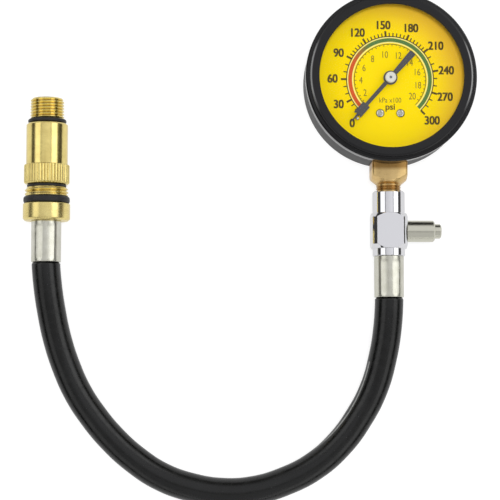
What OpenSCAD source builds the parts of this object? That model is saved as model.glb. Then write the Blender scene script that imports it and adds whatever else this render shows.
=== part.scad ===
// Engine compression tester: a Bourdon gauge on a tee with a release button, a rubber hose
// and a brass plug end that carries a long-reach adapter.
// It lies flat: the origin is the middle of the case back, +Z points out of the dial and
// +Y to the top of the dial. The stem leaves along -Y and the hose loops round to -X.

/* [Gauge case] */
// Outer diameter of the case behind the bezel
case_d = 70.2; // [64:0.1:76]
// Overhang of the bezel past the case
bezel_lap = 0.2; // [0.1:0.1:1]
// Width of the bezel ring from its outer edge to the window
bezel_w = 5.6; // [4.6:0.1:7]
// Wall of the case rim and of its back
case_wall = 1.5; // [1.2:0.1:2]
// Wall of the bezel's skirt round the case rim
skirt_wall = 1.55; // [1.2:0.05:2]
// Height of the bezel's skirt along the case rim
skirt_h = 2.5; // [1.5:0.1:4]
// Rounding of the case's rear edge
back_round = 1.6; // [1:0.1:5]
// Height of the dial face above the case back
dial_z = 19; // [18.5:0.1:20]
// Thickness of the dial plate
dial_t = 0.6; // [0.4:0.1:1]
// Height from the dial face to the underside of the lens
lens_clear = 4; // [3.6:0.1:6]
// Thickness of the lens
lens_t = 2; // [1:0.1:3]
// Thickness of the gasket under the lens
gasket_t = 1; // [0.5:0.1:2]
// Thickness of the bezel's front lip
lip_t = 1.5; // [1:0.1:3]

/* [Pointer and dial screws] */
// Swing of the pointer from zero to full scale, in degrees
pointer_sweep = 274; // [240:1:280]
// Direction of the pointer at zero, in degrees from +X
pointer_rest = 228.4; // [220:0.1:235]
// Reach of the pointer's tip from its axis
pointer_reach = 24.4; // [23:0.1:27]
// Length of the pointer's tail from its axis
tail_reach = 14.3; // [8:0.1:18]
// Width of the pointer's arm
arm_w = 1.5; // [1:0.1:2.5]
// Distance from the axis to the wide block on the arm
block_start = 15; // [12:0.1:17]
// Length of the wide block
block_l = 5.9; // [3:0.1:6]
// Width of the wide block
block_w = 3.6; // [2.5:0.1:5]
// Thickness of the pointer
pointer_t = 0.5; // [0.3:0.1:0.8]
// Gap between the dial screw heads and the pointer
pointer_clear = 0.4; // [0.3:0.1:0.8]
// Diameter of the pointer's hub
hub_d = 4.6; // [3.5:0.1:5.5]
// Height of the hub
hub_h = 2.2; // [1.6:0.1:2.4]
// Diameter of the stop pin at zero
stop_d = 1.3; // [0.8:0.1:2]
// Distance of the stop pin from the pointer's axis
stop_reach = 22; // [21.8:0.1:23]
// Half the distance between the dial screws
dial_screw_x = 4.2; // [3:0.1:5]
// Distance of the dial screws below the pointer's axis
dial_screw_drop = 14.6; // [14:0.1:15.5]
// Head diameter of the dial screws
dial_screw_d = 3.5; // [2.5:0.1:4]
// Head height of the dial screws
dial_screw_h = 1.1; // [0.6:0.1:1.3]

/* [Bourdon tube] */
// Radius of the tube's centre line
tube_r = 24; // [23:0.1:26]
// Width of the tube across the coil
tube_w = 4; // [3:0.1:5]
// Height of the tube along the pointer's axis
tube_h = 9; // [6:0.1:10]
// Wall of the tube
tube_wall = 0.4; // [0.2:0.05:0.8]
// Direction of the tube's free end, in degrees from +X
tip_angle = -20; // [-24:1:-16]
// Direction of the tube's soldered end, in degrees from +X
root_angle = 258; // [252:1:262]
// Thickness of the cap on the free end
tip_cap_t = 2.4; // [1.5:0.1:3]

/* [Movement] */
// Gear module of the sector and the pinion
gear_module = 0.3; // [0.28:0.01:0.31]
// Teeth of the pinion
pinion_teeth = 12; // [12:1:13]
// Teeth of the sector's full circle
sector_teeth = 96; // [92:4:100]
// Pressure angle of the teeth, in degrees
pressure_angle = 25; // [24:0.5:27]
// Thinning of each tooth for free running
backlash = 0.04; // [0.02:0.01:0.08]
// Direction from the pinion to the sector's arbor, in degrees from +X
sector_angle = -55; // [-58:1:-52]
// Length of the sector's tail from arbor to link pin
tail_arm = 6; // [5:0.1:7]
// Direction in which the tube's free end moves, in degrees from +X
tip_path_angle = 56; // [50:1:62]
// Length of the link between its pins
link_l = 9; // [8:0.1:9.5]
// Height of the back plate's underside above the case back
movement_z = 9.5; // [9:0.1:9.8]
// Thickness of the back plate
back_plate_t = 1.2; // [0.8:0.1:1.4]
// Thickness of the front plate
front_plate_t = 1; // [0.8:0.1:1.2]
// Gap between the two plates
plate_gap = 4.6; // [4.4:0.1:4.8]
// Thickness of the sector
sector_t = 1.2; // [0.8:0.1:1.3]
// Thickness of the link
link_t = 0.8; // [0.5:0.1:0.9]
// Diameter of the pivots
pivot_d = 1; // [0.8:0.1:1.2]
// Diameter of the arbors and of the link pins
arbor_d = 1.2; // [1.2:0.1:1.4]
// Diameter of the pillars
pillar_d = 3; // [2.4:0.1:3.4]
// Turns of the hairspring
hair_turns = 4; // [3:1:5]
// Outer radius of the hairspring
hair_r = 5; // [4:0.1:5.5]

/* [Stem and tee] */
// Height of the stem's axis above the case back
stem_z = 10; // [9.8:0.1:10.5]
// Distance across the flats of the socket's square
socket_af = 14.6; // [12:0.1:15]
// Diameter over the turned corners of the socket's square
socket_corner_d = 19.6; // [18:0.1:20.5]
// Length of the socket's square below the case
socket_l = 8.3; // [5:0.1:12]
// Diameter of the socket's threaded neck
neck_d = 10.3; // [9.5:0.1:10.8]
// Length of neck that shows above the tee
neck_l = 2.8; // [2:0.1:8]
// Length of neck screwed into the tee
neck_grip = 8; // [6:0.1:9]
// Diameter of the tee's collars
tee_collar_d = 13.5; // [13:0.1:15]
// Length of the tee's upper collar
tee_upper_l = 9.3; // [8.8:0.1:14]
// Distance across the flats of the tee's block
tee_af = 14.6; // [14:0.1:16]
// Diameter over the turned corners of the tee's block
tee_corner_d = 18.2; // [17.4:0.1:19]
// Length of the tee's block
tee_block_l = 14.7; // [12:0.1:18]
// Length of the tee's lower collar
tee_lower_l = 3.1; // [2:0.1:8]
// Diameter of the gas passage
passage_d = 3; // [2:0.1:3.4]

/* [Release valve] */
// Outer diameter of the valve sleeve
sleeve_d = 9; // [8.2:0.1:10]
// Length of the sleeve outside the tee
sleeve_l = 11.7; // [10:0.1:16]
// Diameter of the release button
button_d = 6.1; // [5:0.1:6.4]
// Length of button that stands out of the sleeve
button_out = 2.8; // [2.4:0.1:6]
// Travel of the release button
button_travel = 1.8; // [1:0.1:2]
// Diameter of the button's stem
button_stem_d = 2; // [1.6:0.1:2.2]
// Wire of the release spring
release_wire = 0.5; // [0.3:0.05:0.6]
// Turns of the release spring
release_turns = 5; // [3:1:6]

/* [Hose and ferrules] */
// Outer diameter of the hose
hose_d = 11.9; // [11.4:0.1:12]
// Bore of the hose
hose_bore = 6; // [5.5:0.1:6.6]
// Diameter of the hose where the ferrule squeezes it
squeezed_d = 10.6; // [9.6:0.1:10.8]
// Outer diameter of the ferrules
ferrule_d = 12.4; // [12.2:0.1:14]
// Distance across the flats of the crimped band
crimp_af = 11.9; // [11.5:0.1:12.2]
// Length of the ferrules
ferrule_l = 17.15; // [14:0.05:20]
// Length of the uncrimped end of a ferrule
crimp_margin = 3; // [1:0.1:5]

/* [Plug end] */
// Diameter of the collar, which rests on the table
collar_d = 19.5; // [19.3:0.1:22]
// Length of the collar
collar_l = 7.15; // [5:0.05:10]
// Diameter of the larger plug thread
large_thread_d = 18; // [17:0.1:19]
// Length of the larger plug thread
large_thread_l = 3.6; // [3:0.1:8]
// Diameter of the smaller plug thread
small_thread_d = 14; // [13:0.1:14.6]
// Length of the smaller plug thread on the adapter
small_thread_l = 8.7; // [6:0.1:14]
// Engagement of the spigot in the adapter
spigot_l = 10; // [9.4:0.1:12]
// Diameter of the adapter's knurled grip
knurl_d = 18.85; // [18:0.05:19.4]
// Length of the knurled grip
knurl_l = 8.05; // [6:0.05:12]
// Number of knurl ridges
knurl_count = 40; // [24:1:60]
// Depth of the knurl
knurl_depth = 0.35; // [0.1:0.05:0.5]
// Diameter of the adapter's smooth sleeve
reach_d = 17.2; // [16.4:0.1:18]
// Length of the adapter's smooth sleeve
reach_l = 17.5; // [10:0.1:25]
// Outer diameter of the collar's seal
collar_seal_d = 19.2; // [17:0.05:19.3]
// Width of the collar's seal
collar_seal_w = 3.1; // [2:0.05:4]
// Outer diameter of the spigot's seal
spigot_seal_d = 16.3; // [15:0.1:17]
// Width of the spigot's seal
spigot_seal_w = 1.45; // [1:0.05:2.5]
// Outer diameter of the adapter's seal
adapter_seal_d = 15.9; // [14.5:0.1:16.4]
// Width of the adapter's seal
adapter_seal_w = 1.7; // [1:0.05:2.5]
// Bore of the adapter
plug_bore = 5; // [3:0.1:6]

/* [Check valve] */
// Outer diameter of the valve body
core_d = 6; // [5.4:0.1:6.4]
// Length of the valve body
core_l = 8; // [7:0.1:8.5]
// Travel of the valve pin
pin_travel = 1; // [0.5:0.1:1.2]
// Diameter of the valve pin
pin_d = 1.4; // [1:0.1:1.6]
// Wire of the valve spring
core_wire = 0.35; // [0.2:0.05:0.4]
// Turns of the valve spring
core_turns = 5; // [3:1:5]

/* [Clearances] */
// Gap of parts that are pressed, soldered or screwed together
fit = 0.02; // [0.01:0.01:0.04]
// Radial gap of running fits
run_gap = 0.05; // [0.02:0.01:0.08]
// Gap where a moving face rests on its seat
seat_gap = 0.05; // [0.02:0.01:0.1]
// Radial gap of the open pivot between the link and the tube's free end
open_gap = 0.25; // [0.2:0.05:0.35]
// Gap between the socket and the opening in the case
case_gap = 0.2; // [0.1:0.05:0.4]

/* [Hidden] */
$fn = 96;
// Overshoot of cutting shapes
cut = 1;
// Sides of swept tubes, and their rings in one turn of a coil
hose_sides = 12;
wire_sides = 6;
rings_per_turn = 8;
// Straight steps of a plate's round corner
corner_steps = 8;
// Small chamfer of turned edges, and the longer one where a thread begins
edge_break = 0.3;
thread_lead = 0.4;
// Overlap that joins two shapes of one solid
join = 0.01;

// Gauge levels and radii
case_r = case_d / 2;
bezel_r = case_r + bezel_lap;
opening_r = bezel_r - bezel_w;
rim_r = bezel_r - skirt_wall;
inner_r = rim_r - case_wall;
lens_z = dial_z + lens_clear;
rim_z = lens_z - gasket_t;
shoulder_z = rim_z - skirt_h;
lens_top = lens_z + lens_t;
gauge_depth = lens_top + lip_t;
dial_r = inner_r - 2 * case_gap;
dial_back = dial_z - dial_t;
bezel_ledge_drop = 1.2;
bezel_face_w = 2.5;
bezel_bevel_w = 1.2;
bezel_edge_round = 0.5;
bezel_ease = 0.1;
gasket_lip = 0.6;
lens_edge = 0.2;

// Pointer levels
pointer_z = dial_z + dial_screw_h + pointer_clear;
hub_z = pointer_z - 0.4;
hub_rivet_d = hub_d - 1.6;
boss_d = hub_d + 1.2;
tail_half_root = arm_w / 2 + 0.1;
tail_half_end = tail_half_root + 0.6;
tail_corner = 0.4;
hub_edge = 0.25;
tip_half_root = 0.55;
tip_half_end = 0.2;
tip_notch = 0.7;
tip_slope = (tip_half_root - tip_half_end) / (pointer_reach - block_start - block_l + tip_notch);
tip_half_stop = tip_half_end + tip_slope * (pointer_reach - stop_reach);
stop_side = tip_half_stop + seat_gap + stop_d / 2;
stop_rivet_d = stop_d - 0.4;
stop_above = 0.6;
arbor_sink = 0.3;
dial_hole_d = 2.5 * arbor_d;

// Movement levels
plate_top = movement_z + back_plate_t;
front_z = plate_top + plate_gap;
front_top = front_z + front_plate_t;
end_float = 0.15;
sector_z = plate_top + 1.3;
sector_top = sector_z + sector_t;
link_z = sector_top + 0.2;
pin_top = link_z + link_t + 0.4;
hair_z = sector_top + 0.8;
hair_h = 0.6;
hair_t = 0.12;
collet_r = 1.2;
plate_round = 2.6;
pillar_pin_d = 1.6;
screw_d = 1.6;
screw_head_d = 2.8;
screw_head_h = 0.9;
pivot_short = 0.1;
hair_lap = 0.1;
pinion_side = 0.2;

// Gear geometry
pinion_pitch_r = gear_module * pinion_teeth / 2;
sector_pitch_r = gear_module * sector_teeth / 2;
centre_distance = pinion_pitch_r + sector_pitch_r;
sector_sweep = pointer_sweep * pinion_teeth / sector_teeth;
sector_tooth_angle = 360 / sector_teeth;
sector_half_teeth = ceil((sector_sweep / 2 + 3) / sector_tooth_angle);
rim_half_angle = (sector_half_teeth + 0.5) * sector_tooth_angle;
sector_rim_w = 2.2;
sector_hub_r = 1.9;
sector_arbor_d = 1.3 * arbor_d;
pinion_arbor_d = 1.1 * arbor_d;
spoke_inset_angle = 5;
link_half_w = arbor_d + 0.1;
tip_lip = 0.5;

// Places of the movement in the dial plane
function polar(r, a) = [r * cos(a), r * sin(a)];
sector_at = polar(centre_distance, sector_angle);
tail_rest = tip_path_angle - 90 - sector_sweep / 2;
tail_at = sector_at + polar(tail_arm, tail_rest);
link_far_at = tail_at + polar(link_l, tip_path_angle);
tail_sagitta = tail_arm * (1 - cos(sector_sweep / 2));
tip_pin_at = link_far_at + polar(tail_sagitta / 2, tip_path_angle - 90);
tip_travel = 2 * tail_arm * sin(sector_sweep / 2);
tip_cap_at = polar(tube_r, tip_angle) + polar(seat_gap + tip_cap_t / 2, tip_angle - 90);
block_front = tube_r - tube_w / 2 - 3;
plate_clear = 0.9;
post_d = dial_screw_d - 0.2;
post_clear = 0.15;
pillar_side = dial_screw_x + (post_d + screw_head_d) / 2 + post_clear;
pillars_at = [[-pillar_side, plate_round + plate_clear - block_front], [13.5, -3.5], [-5.5, 6]];
plate_corners = [pillars_at[0], sector_at, pillars_at[1], pillars_at[2]];
dial_screws_at = [for (side = [-1, 1]) [side * dial_screw_x, -dial_screw_drop]];
stop_at = polar(stop_reach, pointer_rest) + polar(stop_side, pointer_rest + 90);
hair_stud_r = 0.5;
hair_end_angle = 60;
hair_stud_at = polar(hair_r + hair_t / 2 + hair_stud_r + fit, hair_end_angle);

// Socket block inside the case
block_top = stem_z + tube_h / 2 + 1;
block_left = 9;
block_right = 8;
passage_reach = tube_w / 2 - polar(tube_r, root_angle).x;
side_passage_d = passage_d - 0.5;
shelf_front = 11.5;
shelf_half_w = 7;
shelf_t = 4;
shelf_floor = 1;
tap_run = 0.5;
tube_seat_angle = 30;
shelf_screw_l = back_plate_t + shelf_t - shelf_floor - tap_run;
pillar_screw_l = front_plate_t + 2;
dial_screw_l = dial_z - front_top + 0.4;
case_screw_x = 4.5;
case_screw_inset = 5.95;
case_screws_at = [for (side = [-1, 1]) [side * case_screw_x, case_screw_inset - inner_r]];
case_screw_d = 2.5;
case_screw_head_d = 4.5;
case_screw_l = stem_z - tube_h / 2 - 1.2;
case_screw_head_h = (case_screw_head_d - case_screw_d) / 2;
case_screw_slot_w = 0.7;

// Stations along the stem, measured down from the gauge's axis
socket_end = case_r + socket_l;
socket_cone_end_r = neck_d / 2 + 0.1;
socket_cone_slope = 1.25;
tee_start = socket_end + neck_l;
neck_end = tee_start + neck_grip;
block_start_s = tee_start + tee_upper_l;
block_end_s = block_start_s + tee_block_l;
tee_end = block_end_s + tee_lower_l;
valve_s = block_start_s + tee_block_l / 2;
hose_exit_s = tee_end + ferrule_l;
barb_d = hose_bore - 0.5;
barb_ridge_d = hose_bore - 0.2;
barb_bore = passage_d;
barb_l = ferrule_l - 1.2;
tee_bore_d = 5;
tee_chamfer = 0.6;
neck_relief = 0.4;
barb_ridges = 3;
crimp_jaws = 8;
crimp_end = crimp_margin / 3;
block_chamfer = (tee_corner_d - tee_af) / 2 - 0.1;

// Stations along the release valve, measured from the stem's axis
valve_base = tee_af / 2;
sleeve_end = valve_base + sleeve_l;
button_end = sleeve_end + button_out;
valve_spigot_d = 6.4;
valve_seat = 3.4;
valve_seal_t = 1.5;
valve_head_t = 1;
valve_head_d = 4.4;
valve_chamber_d = 5.4;
spring_floor = valve_base + 1.5;
button_guide_d = button_d + 4 * run_gap;
button_cap_l = button_out + button_travel + 2;
spring_seat = button_end - button_cap_l;
stem_hole_d = button_stem_d + 0.6;
release_coil_d = (button_stem_d + button_d) / 2 + 0.3;
sleeve_edge = 0.6;
button_edge = 0.5;

// Stations along the plug end, measured from the far ferrule's mouth
plug_z = collar_d / 2;
collar_start = ferrule_l;
collar_top = collar_start + collar_l;
large_thread_start = collar_top + collar_seal_w;
large_thread_top = large_thread_start + large_thread_l;
adapter_start = large_thread_top + spigot_seal_w;
spigot_top = adapter_start + spigot_l;
knurl_top = adapter_start + knurl_l;
reach_top = knurl_top + reach_l;
small_thread_start = reach_top + adapter_seal_w;
plug_tip = small_thread_start + small_thread_l;
collar_groove_d = 14;
spigot_groove_d = 11.9;
adapter_groove_d = 11;
thread_chamfer = 0.8;
adapter_floor = spigot_top + 0.45;

// Stations of the check valve
core_top = spigot_top - 0.5;
core_start = core_top - core_l;
core_lip = 1.2;
core_bridge = 1;
pin_head_t = 0.6;
pin_seal_t = 0.8;
pin_collar_t = 0.8;
pin_above = 0.3;
pin_collar_z = core_top - core_bridge - 0.7 - pin_collar_t;
core_floor = core_start - pin_seal_t - pin_head_t - pin_travel - 0.6;
core_chamber_d = core_d - 1.8;
core_vent_d = 0.9;
core_mouth_d = pin_d + 1.2;
pin_head_d = core_chamber_d - 0.4;
pin_seal_d = core_chamber_d - 0.3;
pin_collar_d = core_chamber_d - 0.8;
core_coil_d = core_chamber_d - 1.1;

// Hose route from the gauge's ferrule to the far ferrule, whose mouth lies at plug_x and plug_y
plug_x = -142.6;
plug_y = -75.9;
hose_swell_l = 0.8;
hose_stub_gap = 0.4;
hose_route = [
    [-0.6, -102, 9.6], [-2.6, -115, 8.5], [-6.4, -128.4, 7.2], [-12.5, -140.2, 6.3], [-20.6, -151.1, 6.1],
    [-31.2, -160.3, 6.1], [-43.1, -166.4, 6.1], [-56, -170.2, 6.1], [-69, -171, 6.1], [-82, -169, 6.1],
    [-94.4, -164.6, 6.1], [-105.3, -157.6, 6.1], [-114.8, -149.1, 6.1], [-122.7, -139.8, 6.1],
    [-129.2, -130, 6.1], [-134.2, -119, 6.5], [-137.9, -107.5, 7.5], [-140.3, -96, 8.7], [-141.9, -85, 9.5]];

black = "#232325";
brass = "#d8b25a";
chrome = "#d5d6d8";
nickel = "#c4c2ba";
rubber = "#262727";
spring_steel = "#9a9ca0";

// Places local shapes: their +Z runs down the stem, out of the release valve or out of the plug
module along_stem() {
    translate([0, 0, stem_z]) rotate([90, 0, 0]) children();
}

module along_valve() {
    translate([0, -valve_s, stem_z]) rotate([0, 90, 0]) children();
}

module along_plug() {
    translate([plug_x, plug_y, plug_z]) rotate([-90, 0, 0]) children();
}

module at(place, z = 0) {
    translate([place.x, place.y, z]) children();
}

// Cylinder from one station to another
module bar(d, from, to) {
    translate([0, 0, from]) cylinder(d = d, h = to - from);
}

// Cylinder with a chamfer at either end, where slope is the fall of the last one per length
module chamfered_bar(d, from, to, start = 0, end = 0, slope = 1) {
    rotate_extrude() polygon([
        [0, from], [d / 2 - start, from], [d / 2, from + start], [d / 2, to - end / slope],
        [d / 2 - end, to], [0, to]]);
}

// Square bar with its corners turned to a diameter and chamfered with a cone
module turned_square(across, corner_d, from, to, start = 0, end = 0, slope = 1) {
    intersection() {
        translate([-across / 2, -across / 2, from]) cube([across, across, to - from]);
        chamfered_bar(corner_d, from, to, start, end, slope);
    }
}

// Flat strip with round ends
module strip(a, b, r) {
    run = b - a;
    at(a) circle(r);
    at(b) circle(r);
    at(a) rotate(atan2(run.y, run.x)) translate([0, -r]) square([norm(run), 2 * r]);
}

// Outline with round corners about the given points, which run counter-clockwise
function edge_angle(a, b) = atan2(b.y - a.y, b.x - a.x);
function rounded(points, r) = [
    for (i = [0 : len(points) - 1])
        let (
            count = len(points),
            first = edge_angle(points[(i + count - 1) % count], points[i]) - 90,
            turn = (edge_angle(points[i], points[(i + 1) % count]) - first + 270) % 360)
        each [for (k = [0 : corner_steps]) points[i] + polar(r, first + turn * k / corner_steps)]];

// Flat oval as wide as w and as high as h
module oval(w, h) {
    square([w, h - w], center = true);
    for (side = [-1, 1])
        translate([0, side * (h - w) / 2]) circle(d = w);
}

// Rubber ring between two faces, with rounded edges
module seal_ring(outer_d, inner_d, from, width) {
    depth = (outer_d - inner_d) / 2;
    edge = 0.45 * min(depth, width);
    rotate_extrude() translate([inner_d / 2, from]) {
        translate([edge, 0]) square([depth - 2 * edge, width]);
        translate([0, edge]) square([depth, width - 2 * edge]);
        for (x = [edge, depth - edge], y = [edge, width - edge])
            translate([x, y]) circle(edge);
    }
}

// Unit direction of a path at one of its points
function unit(v) = v / norm(v);
function heading(path, i) = unit(path[min(i + 1, len(path) - 1)] - path[max(i - 1, 0)]);

// Ring of points round a place on a path
function ring_points(place, direction, r, sides) =
    let (
        side = unit(cross(direction, abs(direction.z) > 0.9 ? [1, 0, 0] : [0, 0, 1])),
        top = cross(side, direction))
    [for (k = [0 : sides - 1]) place + r * (cos(360 * k / sides) * side + sin(360 * k / sides) * top)];

// Triangles between one ring of points and the next, and over a round end
function wall_faces(first, count, sides, inward) = [
    for (i = [0 : count - 2], k = [0 : sides - 1])
        let (a = first + i * sides + k, b = first + i * sides + (k + 1) % sides)
        each inward
            ? [[a, b, b + sides], [a, b + sides, a + sides]]
            : [[a, b + sides, b], [a, a + sides, b + sides]]];

function end_faces(a, b, sides, flip) = [
    for (k = [0 : sides - 1])
        let (n = (k + 1) % sides)
        each flip
            ? [[a + k, b + n, a + n], [a + k, b + k, b + n]]
            : [[a + k, a + n, b + n], [a + k, b + n, b + k]]];

// Tube with a bore, swept along a path with its own radius at each point
module swept_tube(path, radii, bore_r, sides) {
    count = len(path);
    outer = [for (i = [0 : count - 1]) each ring_points(path[i], heading(path, i), radii[i], sides)];
    inner = [for (i = [0 : count - 1]) each ring_points(path[i], heading(path, i), bore_r, sides)];
    hole = count * sides;
    last = (count - 1) * sides;
    polyhedron(concat(outer, inner), concat(
        wall_faces(0, count, sides, false), wall_faces(hole, count, sides, true),
        end_faces(0, hole, sides, false), end_faces(last, hole + last, sides, true)));
}

// Round wire swept along a path
module swept_wire(path, r, sides) {
    count = len(path);
    points = [for (i = [0 : count - 1]) each ring_points(path[i], heading(path, i), r, sides)];
    polyhedron(points, concat(
        wall_faces(0, count, sides, false),
        [[for (k = [0 : sides - 1]) k]],
        [[for (k = [sides - 1 : -1 : 0]) (count - 1) * sides + k]]));
}

// Coil spring between two stations
function helix(r, from, to, turns) = [
    for (i = [0 : turns * rings_per_turn])
        let (share = i / (turns * rings_per_turn))
        [r * cos(360 * turns * share), r * sin(360 * turns * share), from + (to - from) * share]];

module coil_spring(mean_d, wire, from, to, turns) {
    swept_wire(helix(mean_d / 2, from + 0.6 * wire, to - 0.6 * wire, turns), wire / 2, wire_sides);
}

// Involute gear outline: flank points from the base circle to the tip
function involute_angle(base, r) = let (a = acos(base / r)) tan(a) * 180 / PI - a;

function flank(teeth, r) =
    let (pitch = gear_module * teeth / 2, base = pitch * cos(pressure_angle))
    90 / teeth - backlash / pitch * 90 / PI
    + involute_angle(base, pitch) - involute_angle(base, max(r, base));

function tooth(teeth, centre) =
    let (
        pitch = gear_module * teeth / 2,
        root = pitch - 1.25 * gear_module,
        base = max(pitch * cos(pressure_angle), root),
        tip = pitch + gear_module,
        radii = [for (i = [0 : 4]) base + (tip - base) * i / 4])
    concat(
        [polar(root, centre - flank(teeth, base))],
        [for (r = radii) polar(r, centre - flank(teeth, r))],
        [for (i = [4 : -1 : 0]) polar(radii[i], centre + flank(teeth, radii[i]))],
        [polar(root, centre + flank(teeth, base))]);

// Gauge case, with its bottom opening and the countersunk holes of its screws
module case() {
    color(black) difference() {
        rotate_extrude() difference() {
            union() {
                square([case_r - back_round, shoulder_z]);
                translate([0, back_round]) square([case_r, shoulder_z - back_round]);
                translate([case_r - back_round, back_round]) circle(back_round);
                square([rim_r, rim_z]);
            }
            translate([0, case_wall]) square([inner_r, rim_z]);
        }
        along_stem() turned_square(socket_af + 2 * case_gap, socket_corner_d + 2 * case_gap,
            inner_r - cut - socket_af / 2, case_r + cut);
        for (place = case_screws_at)
            at(place) {
                bar(case_screw_head_d + 2 * case_gap, -cut, 0);
                countersunk_screw(case_gap, case_wall + cut);
            }
    }
}

// Countersunk screw that points up from the case back
module countersunk_screw(gap, length) {
    cylinder(d1 = case_screw_head_d + 2 * gap, d2 = case_screw_d + 2 * gap, h = case_screw_head_h);
    cylinder(d = case_screw_d + 2 * gap, h = length);
}

// Slotted screws that hold the case on the socket
module case_screws() {
    color(nickel) for (place = case_screws_at)
        at(place) difference() {
            countersunk_screw(0, case_screw_l);
            translate([-case_screw_head_d, -case_screw_slot_w / 2, -cut])
                cube([2 * case_screw_head_d, case_screw_slot_w, cut + case_screw_head_h / 2]);
        }
}

// Brass socket: square with the threaded neck outside, block and shelf inside the case
module socket() {
    color(brass) difference() {
        union() {
            along_stem() turned_square(socket_af, socket_corner_d, inner_r - socket_af / 2, socket_end,
                end = socket_corner_d / 2 - socket_cone_end_r, slope = socket_cone_slope);
            along_stem() chamfered_bar(neck_d, socket_end - cut, neck_end, end = tee_chamfer);
            intersection() {
                translate([-block_left, -inner_r, case_wall])
                    cube([block_left + block_right, inner_r - block_front, block_top - case_wall]);
                cylinder(r = inner_r - case_gap, h = block_top);
            }
            translate([-shelf_half_w, -block_front - cut, movement_z - shelf_t])
                cube([2 * shelf_half_w, block_front + cut - shelf_front, shelf_t]);
        }
        along_stem() bar(passage_d, tube_r, neck_end + cut);
        translate([0, -tube_r - passage_d / 2, stem_z]) rotate([0, -90, 0])
            cylinder(d = side_passage_d, h = passage_reach);
        rotate(root_angle - tube_seat_angle) rotate_extrude(angle = tube_seat_angle + join)
            translate([tube_r, stem_z]) oval(tube_w + 2 * fit, tube_h + 2 * fit);
        for (place = case_screws_at)
            at(place) cylinder(d = case_screw_d + 2 * fit, h = case_screw_l + tap_run);
        for (place = dial_screws_at)
            at(place, movement_z - shelf_t + shelf_floor) cylinder(d = screw_d + 2 * fit, h = shelf_t);
    }
}

// C-shaped oval tube, soldered into the socket
module bourdon_tube() {
    color(brass) rotate(tip_angle) rotate_extrude(angle = root_angle - tip_angle)
        translate([tube_r, stem_z]) difference() {
            oval(tube_w, tube_h);
            oval(tube_w - 2 * tube_wall, tube_h - 2 * tube_wall);
        }
}

// Cap on the tube's free end, with the lug and pin for the link
module tube_tip() {
    color(brass) {
        rotate(tip_angle) translate([tube_r, -seat_gap, stem_z]) rotate([90, 0, 0])
            linear_extrude(tip_cap_t) oval(tube_w + 2 * tip_lip, tube_h + 2 * tip_lip);
        translate([0, 0, sector_z]) linear_extrude(sector_t) strip(tip_cap_at, tip_pin_at, tip_cap_t / 2);
        at(tip_pin_at, sector_z) cylinder(d = arbor_d, h = pin_top - sector_z);
    }
}

module movement_back_plate() {
    color(brass) translate([0, 0, movement_z]) linear_extrude(back_plate_t) difference() {
        polygon(rounded(plate_corners, plate_round));
        circle(d = pivot_d + 2 * run_gap);
        at(sector_at) circle(d = pivot_d + 2 * run_gap);
        for (place = pillars_at)
            at(place) circle(d = pillar_pin_d + 2 * fit);
        for (place = dial_screws_at)
            at(place) circle(d = screw_d + 2 * fit);
    }
}

// Turned pillars, riveted into the back plate and tapped for the front plate's screws
module movement_pillars() {
    color(brass) for (place = pillars_at)
        at(place, movement_z) difference() {
            union() {
                cylinder(d = pillar_pin_d, h = back_plate_t + cut);
                translate([0, 0, back_plate_t]) cylinder(d = pillar_d, h = plate_gap);
            }
            translate([0, 0, back_plate_t + plate_gap / 2]) cylinder(d = screw_d + 2 * fit, h = plate_gap);
        }
}

// Front plate, with the stud that holds the outer end of the hairspring
module movement_front_plate() {
    color(brass) {
        translate([0, 0, front_z]) linear_extrude(front_plate_t) difference() {
            polygon(rounded(plate_corners, plate_round));
            circle(d = arbor_d + 2 * run_gap);
            at(sector_at) circle(d = pivot_d + 2 * run_gap);
            for (place = concat(pillars_at, dial_screws_at))
                at(place) circle(d = screw_d + 2 * fit);
        }
        at(hair_stud_at, hair_z - hair_lap) cylinder(r = hair_stud_r, h = front_z - hair_z + 2 * hair_lap);
    }
}

// Slotted screw with its head's underside at z = 0
module slotted_screw(head_d, head_h, shank_d, length) {
    slot_w = head_d / 6;
    slot_floor = 0.55 * head_h;
    translate([0, 0, -length]) cylinder(d = shank_d, h = length + head_h / 2);
    difference() {
        cylinder(d = head_d, h = head_h);
        translate([-head_d, -slot_w / 2, slot_floor]) cube([2 * head_d, slot_w, head_h]);
    }
}

// Screws of the back plate on the socket's shelf and of the front plate on the pillars
module movement_screws() {
    color(nickel) {
        for (place = dial_screws_at)
            at(place, plate_top) slotted_screw(screw_head_d, screw_head_h, screw_d, shelf_screw_l);
        for (place = pillars_at)
            at(place, front_top) slotted_screw(screw_head_d, screw_head_h, screw_d, pillar_screw_l);
    }
}

// Toothed sector on its arbor, with the tail that the link pulls
module sector_gear() {
    facing = sector_angle + 180 - sector_sweep / 2;
    root_r = sector_pitch_r - 1.25 * gear_module;
    color(brass) at(sector_at) {
        translate([0, 0, sector_z]) linear_extrude(sector_t) {
            circle(sector_hub_r);
            strip([0, 0], polar(tail_arm, tail_rest), arbor_d);
            for (side = [-1, 1])
                strip([0, 0], polar(root_r - sector_rim_w / 2,
                    facing + side * (rim_half_angle - spoke_inset_angle)), sector_rim_w / 3);
            sector_rim(root_r, facing);
            for (k = [-sector_half_teeth : sector_half_teeth])
                polygon(concat([[0, 0]], tooth(sector_teeth, facing + k * sector_tooth_angle)));
        }
        bar(sector_arbor_d, plate_top + end_float, front_z - end_float);
        bar(pivot_d, movement_z + pivot_short, front_top - pivot_short);
        at(polar(tail_arm, tail_rest), sector_z) cylinder(d = arbor_d, h = pin_top - sector_z);
    }
}

// Curved rim behind the sector's teeth
module sector_rim(r, facing) {
    intersection() {
        difference() {
            circle(r + join);
            circle(r - sector_rim_w);
        }
        polygon([[0, 0], 1.2 * polar(r, facing - rim_half_angle), 1.4 * polar(r, facing),
            1.2 * polar(r, facing + rim_half_angle)]);
    }
}

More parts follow.
